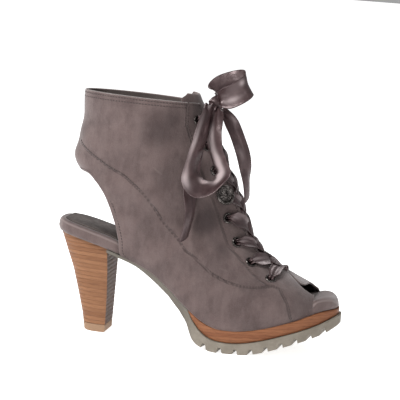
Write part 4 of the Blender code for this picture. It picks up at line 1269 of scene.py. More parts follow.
@dataclass(frozen=True)
class Upper:
    """The nubuck upper: skin with panels, seams and creases, turned edges, and its lining."""

    rows: int = 300
    columns: tuple[int, int] = (66, 24)  # up to the shared angle, and on to the edge
    shared: float = 104.0
    stitch_dent: float = 0.25 * MM  # how much less a row of stitches is sunk than a seam
    hem_steps: int = 6
    hem_depth: float = 4.0 * MM
    lap: tuple[tuple[float, float], ...] = (  # row, and where the inner side starts beside the toe's opening
        (18.0, 0.0), (19.0, -3.5), (20.0, -9.0), (20.7, -12.0), (21.1, -9.0), (21.5, 4.0), (22.0, 22.0),
        (23.0, 38.0),
    )
    lap_edge: float = 3.0 * MM  # width of the rubbed band beside it
    punched: float = 3.3 * MM  # radius of the hole under an eyelet
    punched_lining: float = 3.2 * MM
    seams: tuple[Seam, ...] = (
        Seam(
            (
                (-0.2, 39.5), (0.3, 41), (1.5, 48.5), (2.3, 48.5), (9.7, 44), (12.8, 44), (16.3, 44),
                (18.2, 41.5), (19.1, 41),
            ), 0.35, 1.3,
        ),
        Seam(
            (
                (3.2, 158), (4.5, 123.5), (7.3, 98), (9.6, 87.5), (11.7, 77), (14.2, 77), (15.3, 72.5),
                (17.1, 54.5), (18.4, 39.5),
            ), 0.4, 1.4,
        ),
        Seam(((19.1, 41), (20.6, 62), (21.6, 97)), 0.35, 1.4),
    )
    creases: tuple[Crease, ...] = (
        Crease(((6.3, 116), (6.6, 100), (6.9, 75), (7.2, 52)), 0.8, 6.0),
        Crease(((3.2, 165), (4.0, 140), (5.0, 100), (5.6, 70)), 0.7, 7.0),
        Crease(((8.8, 118), (9.0, 90), (8.9, 62)), 0.8, 5.0),
        Crease(((1.4, 178), (1.9, 140), (2.2, 100)), 0.5, 8.0),
        Crease(((14.2, 100), (15.2, 75), (15.6, 55)), 0.6, 6.0),
        Crease(((17.6, 96), (18.0, 70), (18.3, 48)), 0.4, 6.0),
    )

    scuffs: tuple[tuple[tuple[float, float], ...], ...] = (
        ((1.2, 133.0), (1.5, 126.0), (2.2, 118.0)), ((4.4, 84.0), (4.9, 80.0)), ((14.5, 66.0), (14.9, 62.0)),
    )
    # Patches of painted shade, darkening the nubuck where shade falls beside the lacing, under the bow and
    # round the ankle.
    painted_shade_patches: tuple[tuple[float, float, float, float], ...] = (  # row, turn, reach in millimetres, strength
        (9.6, 55.0, 15.0, 1.0), (6.4, 56.0, 13.0, 0.8), (12.4, 50.0, 9.0, 0.6), (2.0, 76.0, 19.0, 0.6),
        (5.2, 80.0, 14.0, 0.45), (9.4, 94.0, 13.0, 0.4), (1.0, 58.0, 10.0, 0.4), (13.6, 88.0, 12.0, 0.25),
    )

    def turns(self, rows: np.ndarray, side: Side, counts: tuple[int, int]) -> np.ndarray:
        """The angles of the grid in each row, from the front to the edge."""
        first, final = LAST.front(rows)[:, None], LAST.final(rows)[:, None]
        if side is Side.INNER:
            lap_rows, lap_turns = zip(*self.lap)
            lap = np.interp(rows, lap_rows, lap_turns)[:, None]
            first = np.where((rows > lap_rows[0])[:, None], lap, first)
        shared = np.minimum(self.shared, 0.9 * final)
        near = first + (shared - first) * np.linspace(0, 1, counts[0] + 1)[None]
        far = shared + (final - shared) * np.linspace(0, 1, counts[1] + 1)[None, 1:]
        return np.concatenate([near, far], axis=1)

    def relief(self, side: Side, points: np.ndarray, out: np.ndarray) -> tuple[np.ndarray, np.ndarray]:
        """How far the skin stands off the last, and each point's distance from the nearest seam."""
        lift, seam = np.zeros(len(points)), np.full(len(points), 1.0)
        for one in self.seams:
            gap, past = beside(LAST.point(*one.places(side)), points, out)
            gap = gap * -side.value
            step = one.step * MM * smooth(gap / (0.9 * MM) + 0.5)
            lift += step * (1 - smooth((gap - 4 * MM) / (8 * MM))) * (1 - smooth(past / (2 * MM)))
            seam = np.minimum(seam, np.hypot(gap, past))
            seam = np.minimum(seam, np.hypot(gap - one.stitch * MM, past) + self.stitch_dent)
        for crease in self.creases:
            if side in crease.sides:
                line = LAST.point(*Seam(crease.points, 0, 0).places(side))
                gap, past = beside(line, points, out)
                share = np.hypot(gap, past) / (crease.width * MM)
                lift -= crease.depth * MM * (np.exp(-(share**2)) - 0.45 * np.exp(-((share - 1.7) ** 2)))
        return lift, seam

    def skin(self, counts: tuple[int, int], rows: int, base: float, detailed: bool) -> Shape:
        """The upper's skin as a grid for each half.

        Args:
            counts: Columns of the grid, up to the shared angle and on to the edge.
            rows: Rows of the grid.
            base: How far it stands off the last.
            detailed: Whether seams and creases are in it.

        Returns:
            The shape, with the layers that the finish reads.
        """
        shape = Shape()
        down = np.linspace(0, len(LAST.table) - 1, rows)
        for side in Side:
            angles = self.turns(down, side, counts)
            row = np.broadcast_to(down[:, None], angles.shape)
            point, out, _, _ = LAST.frame(row, side.value * angles)
            flat, normals = point.reshape(-1, 3), out.reshape(-1, 3)
            lift, seam = self.relief(side, flat, normals)
            if not detailed:
                seam = np.full(len(flat), 1.0)
            # Painted shade: how much each point is darkened by the patches.
            painted_shade = np.zeros(len(flat))
            for at_row, at_turn, reach, strength in self.painted_shade_patches:
                away = flat - LAST.point(np.array(at_row), np.array(side.value * at_turn))
                painted_shade += strength * np.exp(-(away**2).sum(-1) / (reach * MM) ** 2)
            edge = np.zeros(angles.shape)
            if detailed:
                for scuff in self.scuffs:
                    gap, past = beside(LAST.point(*Seam(scuff, 0, 0).places(side)), flat, normals)
                    edge += 0.45 * np.exp(-((np.hypot(gap, past) / (1.3 * MM)) ** 2)).reshape(angles.shape)
            if detailed and side is Side.INNER:
                gone = np.concatenate([
                    np.zeros((rows, 1)), np.cumsum(np.linalg.norm(np.diff(point, axis=1), axis=2), axis=1)
                ], axis=1)
                edge += 0.9 * (1 - smooth(gone / self.lap_edge)) * smooth((down - 18.2) / 0.6)[:, None]
            on_ridge = (np.abs(angles.reshape(-1)) < 0.01) | (angles.reshape(-1) > 179.99)
            normals = np.where(on_ridge[:, None], unit(normals * [1, 0, 1]), normals)
            centred = np.stack([flat[:, 0], LAST.column("middle", row.reshape(-1)), flat[:, 2]], axis=1)
            flat = np.where(on_ridge[:, None], centred, flat)
            moved = (flat + normals * (base + lift)[:, None]).reshape(point.shape)
            marks = {"seam": seam, "edge": edge.reshape(-1), "painted_shade": np.minimum(painted_shade, 1.0)}
            shape.grid(moved, flip=side is Side.INNER, **marks)
        return shape

    def build(self) -> None:
        """Makes the skin with its turned edges, and the lining."""
        outer = self.skin(self.columns, self.rows, 0.0, True).mesh("upper_skin", weld=2e-5)
        self.turn_edges(outer)
        settle(outer, NUBUCK, Slot.NUBUCK, "upper")
        lining = self.skin((30, 14), 110, -WALL, False).mesh("upper_lining", weld=2e-5)
        self.punch(lining, self.punched_lining)
        lining.data.flip_normals()
        settle(lining, LINING, Slot.SOCK)

    def turn_edges(self, obj: bpy.types.Object) -> None:
        """Rolls each open edge over and tucks it inside, then opens the eyelets' holes."""
        bm = bmesh.new()
        bm.from_mesh(obj.data)
        seam, edge = bm.verts.layers.float["seam"], bm.verts.layers.float["edge"]
        bm.normal_update()
        open_edges = [e for e in bm.edges if e.is_boundary]
        away: dict[bmesh.types.BMVert, Vector] = {}
        normals: dict[bmesh.types.BMVert, Vector] = {}
        for one in open_edges:
            face = one.link_faces[0]
            middle = (one.verts[0].co + one.verts[1].co) / 2
            along = (one.verts[1].co - one.verts[0].co).normalized()
            way = middle - face.calc_center_median()
            way = (way - along * way.dot(along)).normalized()
            for vert in one.verts:
                away[vert] = away.get(vert, Vector()) + way
                normals[vert] = normals.get(vert, Vector()) + face.normal
        ring = {vert: vert for vert in away}
        radius = WALL / 2
        for vert in away:
            normals[vert].normalize()
            away[vert] = (away[vert] - normals[vert] * away[vert].dot(normals[vert])).normalized()
            vert[edge] = 0.6
        for step in range(1, self.hem_steps + 1):
            angle = math.pi * min(step, self.hem_steps - 1) / (self.hem_steps - 1)
            tuck = self.hem_depth if step == self.hem_steps else 0.0
            fresh = {}
            for vert in away:
                rise = radius * (math.cos(angle) - 1) * 0.97
                reach = radius * math.sin(angle) - tuck
                fresh[vert] = bm.verts.new(vert.co + normals[vert] * rise + away[vert] * reach)
                fresh[vert][seam] = 1.0
                fresh[vert][edge] = 1.0 if step < self.hem_steps - 1 else 0.1
            for one in open_edges:
                loop = one.link_loops[0]
                a, b = loop.vert, loop.link_loop_next.vert
                bm.faces.new((ring[b], ring[a], fresh[a], fresh[b]))
            ring = fresh
        bm.to_mesh(obj.data)
        bm.free()
        obj.data.shade_smooth()
        self.punch(obj, self.punched)

    def punch(self, obj: bpy.types.Object, radius: float) -> None:
        """Opens a hole in the sheet under each eyelet."""
        bm = bmesh.new()
        bm.from_mesh(obj.data)
        places = [(side, row, turn) for side in Side for row, turn in zip(Lacing.rows, Lacing.turns)]
        spots = [LAST.spot(row, side.value * turn).translation for side, row, turn in places]
        near = [min((face.calc_center_median() - spot).length for spot in spots) for face in bm.faces]
        gone = [face for face, gap in zip(bm.faces, near) if gap < radius]
        bmesh.ops.delete(bm, geom=gone, context="FACES")
        bm.to_mesh(obj.data)
        bm.free()


@dataclass(frozen=True)
class Tongue:
    """The tongue under the throat, with a rolled top edge."""

    first: float = -0.75
    final: float = 15.6
    wide: tuple[float, float] = (46.0, 26.0)
    thick: float = 1.8 * MM
    size: tuple[int, int] = (120, 40)

    def build(self) -> None:
        """Makes the tongue."""
        rows = np.linspace(self.first, self.final, self.size[0])
        share = (rows - self.first) / (self.final - self.first)
        reach = self.wide[0] + (self.wide[1] - self.wide[0]) * share
        corner = 1 - 0.28 * (1 - smooth((rows - self.first) / 0.7)) ** 2
        columns = np.linspace(-1, 1, self.size[1])
        turn = (reach * corner)[:, None] * columns[None]
        row = np.broadcast_to(rows[:, None], turn.shape)
        across = smooth((1 - np.abs(columns)) / 0.15)[None]
        pad = 0.25 * MM * np.sin(rows * 2.1)[:, None] * np.cos(columns * 2)[None] * across
        surface = LAST.lifted(row, turn, -TONGUE_OFF + pad)
        shape = Shape()
        rubbed = np.repeat(np.exp(-(rows - self.first) / 0.12), self.size[1])
        shape.grid(surface, seam=np.ones(turn.size), edge=rubbed)
        obj = shape.mesh("tongue_leather")
        thicken(obj, self.thick, -1.0)
        bevel(obj, 0.7 * MM, 3, 50)
        settle(obj, NUBUCK, Slot.NUBUCK, "tongue")


# Sole


def slab(rings: list[tuple[np.ndarray, np.ndarray]], across: int) -> Shape:
    """A layer of the sole.

    Args:
        rings: Outer and inner rim lines from the bottom's edge, up the side, to the top's edge.
        across: Columns of the top and bottom faces.

    Returns:
        The closed shape.
    """
    shape = Shape()
    for i, flip in ((0, False), (1, True)):
        shape.grid(np.stack([ring[i] for ring in rings]), flip=flip)
    share = np.linspace(0, 1, across + 1)[None, :, None]
    for ring, flip in ((rings[0], False), (rings[-1], True)):
        shape.grid(ring[0][:, None] * (1 - share) + ring[1][:, None] * share, flip=flip)
    return shape


def rim_ring(places: np.ndarray, out: object, height: object) -> tuple[np.ndarray, np.ndarray]:
    """The sole's outline moved outwards, at a height.

    Args:
        places: Rows of the outline.
        out: How far out, as a number or a function of the place along the foot.
        height: The height, as a function of the place along the foot.

    Returns:
        The outer and the inner line.
    """
    lines = []
    for side in Side:
        point, normal = PLAN.rim(side, places)
        reach = out(point[:, 0]) if callable(out) else out
        moved = point + normal * np.broadcast_to(reach, len(point))[:, None]
        lines.append(np.column_stack([moved, height(moved[:, 0])]))
    return lines[0], lines[1]


@dataclass(frozen=True)
class Footbed:
    """The wrapped board, full at the heel seat and the toe, and the sock on it."""

    wrap: float = 4.2 * MM
    covered: tuple[float, float] = (18.8 * MM, 187.0 * MM)
    blend: float = 4.0 * MM
    sock_inset: float = 4.2 * MM
    sock_thick: float = 1.4 * MM
    sock_sink: float = 2.2 * MM  # at the toe
    sock_sinks: tuple[float, float] = (178.0 * MM, 8.0 * MM)  # where it starts, and over what length

    def hidden(self, x: np.ndarray) -> np.ndarray:
        """1 where the upper covers the board's side, 0 where it shows."""
        return smooth((x - self.covered[0]) / self.blend) * smooth((self.covered[1] - x) / self.blend)

    def side_out(self, x: np.ndarray, k: int) -> np.ndarray:
        """How far out the board's side is at its ring k, from the bottom."""
        return -TONGUE_OFF * self.hidden(x) - 0.5 * MM * (k == 0) + 0.25 * MM * (k == 2)

    def side_level(self, x: np.ndarray, k: int) -> np.ndarray:
        """How high the board's side is at its ring k."""
        feather = PLAN.level("feather", x)
        return feather + 0.3 * MM + (PLAN.level("board", x) - self.wrap * 0.8 - feather) * (k / 4)

    def roll_out(self, x: np.ndarray, angle: float) -> np.ndarray:
        """How far out the rounded top edge is at an angle."""
        hidden = self.hidden(x)
        return -TONGUE_OFF * hidden - self.wrap * (1 + 1.2 * hidden) * (1 - math.cos(angle))

    def roll_level(self, x: np.ndarray, angle: float) -> np.ndarray:
        """How high the rounded top edge is at an angle."""
        return PLAN.level("board", x) - self.wrap * (0.8 + 0.8 * self.hidden(x)) * (1 - math.sin(angle))

    def sock_out(self, x: np.ndarray) -> np.ndarray:
        """How far out the sock's edge is."""
        return -self.sock_inset - 6.2 * MM * self.hidden(x)

    def sock_level(self, x: np.ndarray, lift: float) -> np.ndarray:
        """The height of a face of the sock, which sinks at the toe."""
        start, length = self.sock_sinks
        return PLAN.level("board", x) + lift - self.sock_sink * smooth((x - start) / length)

    def build(self) -> None:
        """Makes the board and the sock."""
        places = PLAN.places(-36.4 * MM, 202.1 * MM, 1.5 * MM)
        rings = []
        for k in range(4):
            rings.append(rim_ring(places, lambda x: self.side_out(x, k), lambda x: self.side_level(x, k)))
        for k in range(9):
            angle = math.pi / 2 * k / 8
            rings.append(
                rim_ring(places, lambda x: self.roll_out(x, angle), lambda x: self.roll_level(x, angle))
            )
        shape = slab(rings, 6)
        around = len(places)
        # Painted highlight: the edge layer peaks along the rounded top of the board's rim, a bright line
        # where the light catches it.
        turned = [np.full(2 * around, math.exp(-(((k - 6.0) / 1.6) ** 2))) for k in range(len(rings))]
        sides = [np.concatenate([line[:around] for line in turned])] * 2
        flats = np.zeros(shape.count - 2 * len(sides[0]))
        shape.marks = {"seam": [np.full(shape.count, 1.0)], "edge": [*sides, flats]}
        board = shape.mesh("board_wrap", weld=2e-5)
        face_outwards(board)
        settle(board, NUBUCK, Slot.NUBUCK, "board")

        places = PLAN.places(-32 * MM, 193.5 * MM, 2 * MM)
        high = self.sock_thick
        shape = slab([
            rim_ring(places, self.sock_out, lambda x: self.sock_level(x, 0.1 * MM)),
            rim_ring(places, self.sock_out, lambda x: self.sock_level(x, high) - 0.5 * MM),
            rim_ring(places, lambda x: self.sock_out(x) - 0.5 * MM, lambda x: self.sock_level(x, high)),
        ], 20)
        sock = shape.mesh("sock_leather", weld=2e-5)
        face_outwards(sock)
        settle(sock, LINING, Slot.SOCK, "sock")


@dataclass(frozen=True)
class ForefootPlatform:
    """The stacked wooden platform under the forefoot."""

    first: float = 84.0 * MM
    out: float = 0.8 * MM

    def top(self, x: np.ndarray) -> np.ndarray:
        """The height of the upper face."""
        return PLAN.level("feather", x) - 0.15 * MM

    def bottom(self, x: np.ndarray) -> np.ndarray:
        """The height of the lower face."""
        return PLAN.level("wood", x)

    def level(self, x: np.ndarray, share: float) -> np.ndarray:
        """The height of a line along the side, at a share of the way up."""
        return self.bottom(x) + 0.3 * MM + np.maximum(self.top(x) - self.bottom(x) - 0.7 * MM, 0) * share

    def build(self) -> None:
        """Makes the platform."""
        places = PLAN.places(self.first, 202.1 * MM, 1.5 * MM)
        rings = [rim_ring(places, self.out - 0.4 * MM, self.bottom)]
        for k in range(5):
            share = k / 4
            rings.append(rim_ring(places, self.out, lambda x: self.level(x, share)))
        rings.append(rim_ring(places, self.out - 0.6 * MM, self.top))
        piece = slab(rings, 4).mesh("platform_stack", weld=2e-5)
        face_outwards(piece)
        settle(piece, PLATFORM_WOOD, Slot.WOOD, "platform")


@dataclass(frozen=True)
class Outsole:
    """The rubber: thin under the arch, lugged under the forefoot."""

    breast: float = 10.6 * MM
    out: float = 2.8 * MM
    depth: float = 4.2 * MM
    half_groove: float = 2.2 * MM
    slope: float = 1.0 * MM
    thinner: float = 1.4 * MM  # how much less rubber there is under the arch
    first_groove: float = 99.6 * MM
    pitch: float = 13.2 * MM
    closer: float = 0.965  # each pitch to the one behind it
    chevron: float = 4.0 * MM
    whole: float = 240.6 * MM  # length of the boot along the floor
    flares: tuple[float, float] = (0.335, 0.05)  # shares of it: where the flare starts, and its length

    def grooves(self) -> list[float]:
        """The grooves' places along the foot."""
        places, place, pitch = [], self.first_groove, self.pitch
        while place < 198.8 * MM:
            places.append(place)
            place, pitch = place + pitch, pitch * self.closer
        return places

    def cut(self, x: np.ndarray) -> np.ndarray:
        """How deep the grooves are at places along the foot, from 0 to 1."""
        deep = np.zeros_like(x)
        for place in self.grooves():
            deep = np.maximum(deep, np.clip((self.half_groove - np.abs(x - place)) / self.slope, 0, 1))
        return deep

    def top(self, x: np.ndarray) -> np.ndarray:
        """The height of the upper face."""
        wood = smooth((x - 82 * MM) / (2 * MM))
        feather = PLAN.level("feather", x)
        return feather + (np.minimum(PLAN.level("wood", x), feather) - feather) * wood - 0.3 * MM

    def bottom(self, x: np.ndarray, shift: object = 0.0) -> np.ndarray:
        """The height of the lower face."""
        tread = PLAN.level("tread", x)
        room = self.top(x) - tread
        depth = np.where(room > 1.7 * self.depth, self.depth, 0.45 * room)
        thinner = self.thinner * smooth((x - 18 * MM) / (20 * MM)) * smooth((92 * MM - x) / (12 * MM))
        return tread + depth * self.cut(x - shift) + thinner

    def flare(self, x: np.ndarray) -> np.ndarray:
        """How far the rubber stands out from the outline, growing where the forefoot starts."""
        return self.out * np.clip((x / self.whole - self.flares[0]) / self.flares[1], 0, 1)

    def level(self, x: np.ndarray, share: float) -> np.ndarray:
        """The height of a line along the side, at a share of the way up."""
        return self.bottom(x) + (self.top(x) - self.bottom(x)) * share

    def build(self) -> None:
        """Makes the outsole."""
        places = PLAN.places(self.breast, 202.1 * MM, 0.55 * MM)
        rings = [rim_ring(places, lambda x: self.flare(x) - 0.4 * MM, self.bottom)]
        for k in range(7):
            share = 0.06 + 0.9 * k / 6
            rings.append(rim_ring(places, self.flare, lambda x: self.level(x, share)))
        rings.append(rim_ring(places, lambda x: self.flare(x) - 0.6 * MM, self.top))
        shape = Shape()
        for i, flip in ((0, False), (1, True)):
            shape.grid(np.stack([ring[i] for ring in rings]), flip=flip)
        share = np.linspace(0, 1, 33)
        for ring, upper in ((rings[0], False), (rings[-1], True)):
            flat = ring[0][:, None] * (1 - share[None, :, None]) + ring[1][:, None] * share[None, :, None]
            if not upper:
                shift = self.chevron * (1 - np.abs(2 * share - 1))
                channel = 1.4 * MM * smooth((0.045 - np.abs(share - 0.5)) / 0.02)
                lugged = smooth((flat[..., 0] - 92 * MM) / (6 * MM))
                flat[..., 2] = self.bottom(flat[..., 0], shift[None]) + channel[None] * lugged
            shape.grid(flat, flip=upper)
        piece = shape.mesh("outsole_rubber", weld=2e-5)
        face_outwards(piece)
        settle(piece, RUBBER, Slot.RUBBER, "outsole")


@dataclass(frozen=True)
class BlockHeel:
    """The stacked heel and its lift."""

    table: tuple[tuple[float, float, float, float], ...] = (
        (0.0, -9.4, 10.6, 15.0), (14.0, -11.8, 10.9, 15.4), (30.0, -16.0, 11.0, 16.8),
        (51.0, -21.9, 10.8, 19.8), (67.0, -28.0, 10.4, 23.6), (82.0, -33.6, 10.0, 26.6),
    )  # height, back, breast, half width
    lift: float = 6.6
    layer: float = 3.4
    notch: float = 0.22  # depth of the joint between two layers
    around: int = 64

    def ring(self, height: float, inset: float) -> np.ndarray:
        """A section, cut off by the underside of the board."""
        table = np.array(self.table)
        angle = np.pi * (np.linspace(0, 1, self.around) - 0.5)
        z = np.full(self.around, height)
        for _ in range(4):
            back, breast, half = (np.interp(z, table[:, 0], table[:, k]) for k in (1, 2, 3))
            x = breast - inset - (breast - back - 2 * inset) * np.maximum(np.cos(angle), 0) ** 0.62
            z = np.minimum(height, PLAN.level("feather", x * MM) / MM - 0.3)
        y = (half - inset) * np.sign(np.sin(angle)) * np.abs(np.sin(angle)) ** 0.92
        return np.stack([x, y, z], axis=1) * MM

    def build(self) -> None:
        """Makes the stack and the lift."""
        heights: list[tuple[float, float]] = [(self.lift, 0.35), (self.lift + 0.4, 0.0)]
        edge = self.lift + self.layer
        while edge < 84:
            heights += [(edge - 0.3, 0.0), (edge, self.notch), (edge + 0.3, 0.0)]
            heights.append((edge + self.layer / 2, -0.05))
            edge += self.layer
        rings = np.stack([self.ring(*pair) for pair in heights])
        settle(self.capped("heel_stack", rings), WOOD, Slot.WOOD, "heel_block")
        pairs = ((0.0, 0.7), (0.3, 0.25), (0.8, 0.0), (3.0, 0.05), (5.7, 0.0), (6.1, 0.2), (6.3, 0.5))
        rings = np.stack([self.ring(*pair) for pair in pairs])
        settle(self.capped("heel_lift_rubber", rings), LIFT_RUBBER, Slot.RUBBER, "heel_lift")

    def capped(self, name: str, rings: np.ndarray) -> bpy.types.Object:
        """A closed piece through the rings."""
        shape = Shape()
        shape.grid(rings, closed=True)
        half = self.around // 2
        for ring in (rings[0], rings[-1]):
            pairs = np.stack([ring[:half], ring[::-1][:half]], axis=1)
            share = np.linspace(0, 1, 5)[None, :, None]
            shape.grid(pairs[:, :1] * (1 - share) + pairs[:, 1:] * share)
        piece = shape.mesh(name, weld=1e-5)
        face_outwards(piece)
        piece.data.set_sharp_from_angle(angle=math.radians(38))
        return piece


LIFT_RUBBER = Rubber("lift_rubber", (0.27, 0.165, 0.10), (0.33, 0.215, 0.135), (0.27, 0.165, 0.10))


# Metal, zip and thread


def turned(name: str, profile: np.ndarray, around: int, matrix: Matrix) -> bpy.types.Object:
    """A ring turned from a closed profile of (radius, height) pairs about the matrix's Z."""
    angle = np.linspace(0, 2 * np.pi, around, endpoint=False)
    points = np.stack([
        np.cos(angle)[:, None] * profile[None, :, 0],
        np.sin(angle)[:, None] * profile[None, :, 0],
        np.broadcast_to(profile[None, :, 1], (around, len(profile))),
    ], axis=-1)
    points = np.concatenate([points, points[:1]])
    shape = Shape()
    shape.grid(points, closed=True)
    obj = shape.mesh(name, weld=1e-6)
    obj.data.transform(matrix)
    face_outwards(obj)
    return obj


@dataclass(frozen=True)
class Eyelets:
    """Flanged rings with a rolled lip."""

    radius: float = 4.4
    bore: float = 2.7
    lift: float = 0.8
    flange: float = 0.9

    def build(self) -> None:
        """Makes the sixteen rings."""
        low, high = self.lift, self.lift + self.flange
        middle, half = (self.radius + self.bore) / 2, (self.radius - self.bore) / 2
        roll = [
            (middle + half * math.cos(a), low + 0.15 + self.flange * 0.95 * math.sin(a))
            for a in np.linspace(0, math.pi, 11)
        ]
        profile = [(self.bore + 0.5, -2.1), (self.bore + 0.5, low), (self.radius, low), *roll]
        profile += [(self.bore, high - 0.9), (self.bore, -2.1)]
        for side in Side:
            for i, (row, turn) in enumerate(zip(Lacing.rows, Lacing.turns)):
                word = "lateral" if side is Side.OUTER else "medial"
                spot = LAST.spot(row, side.value * turn)
                ring = turned(f"eyelet_ring_{word}_{i + 1}", np.array(profile) * MM, 30, spot)
                settle(ring, NICKEL, Slot.NICKEL, f"eyelet_{word}_{i + 1}")


@dataclass(frozen=True)
class Medal:
    """The plain round ornament: a roped rim round a fluted dish."""

    eyelet: int = 3
    base: float = 5.6
    rim: tuple[tuple[float, float], ...] = (
        (0.0, 1.25), (1.4, 1.2), (2.2, 0.75), (4.9, 0.7), (5.5, 0.95), (5.9, 1.55), (6.5, 1.8), (7.1, 1.8),
        (7.7, 1.5), (8.0, 0.95), (8.0, 0.2), (7.8, 0.0),
    )

    def build(self) -> None:
        """Makes the ornament."""
        knots = np.array(self.rim)
        at = np.linspace(0, len(knots) - 1, 56)
        radius, height = cubic(knots[:, 0], at), cubic(knots[:, 1], at)
        angle = np.linspace(0, 2 * np.pi, 120, endpoint=False)
        dish = smooth((radius - 2.2) / 0.8) * smooth((5.2 - radius) / 0.8)
        band = smooth((radius - 5.8) / 0.5) * smooth((7.9 - radius) / 0.4)
        flute = 0.16 * np.cos(12 * angle)[None] * dish[:, None]
        rope = 0.14 * np.cos(30 * angle[None] + 2.2 * radius[:, None]) * band[:, None]
        points = np.stack([
            radius[:, None] * np.cos(angle)[None], radius[:, None] * np.sin(angle)[None],
            self.base + height[:, None] + flute + rope,
        ], axis=-1) * MM
        shape = Shape()
        shape.grid(points, closed=True)
        back = points[-1:]
        hub = np.broadcast_to([0.0, 0.0, self.base * MM], back.shape)
        shape.grid(np.concatenate([back, hub]), closed=True)
        obj = shape.mesh("medal_disc", weld=1e-6)
        obj.data.transform(LAST.spot(Lacing.rows[self.eyelet], -Lacing.turns[self.eyelet]))
        face_outwards(obj)
        settle(obj, NICKEL, Slot.NICKEL, "medal")


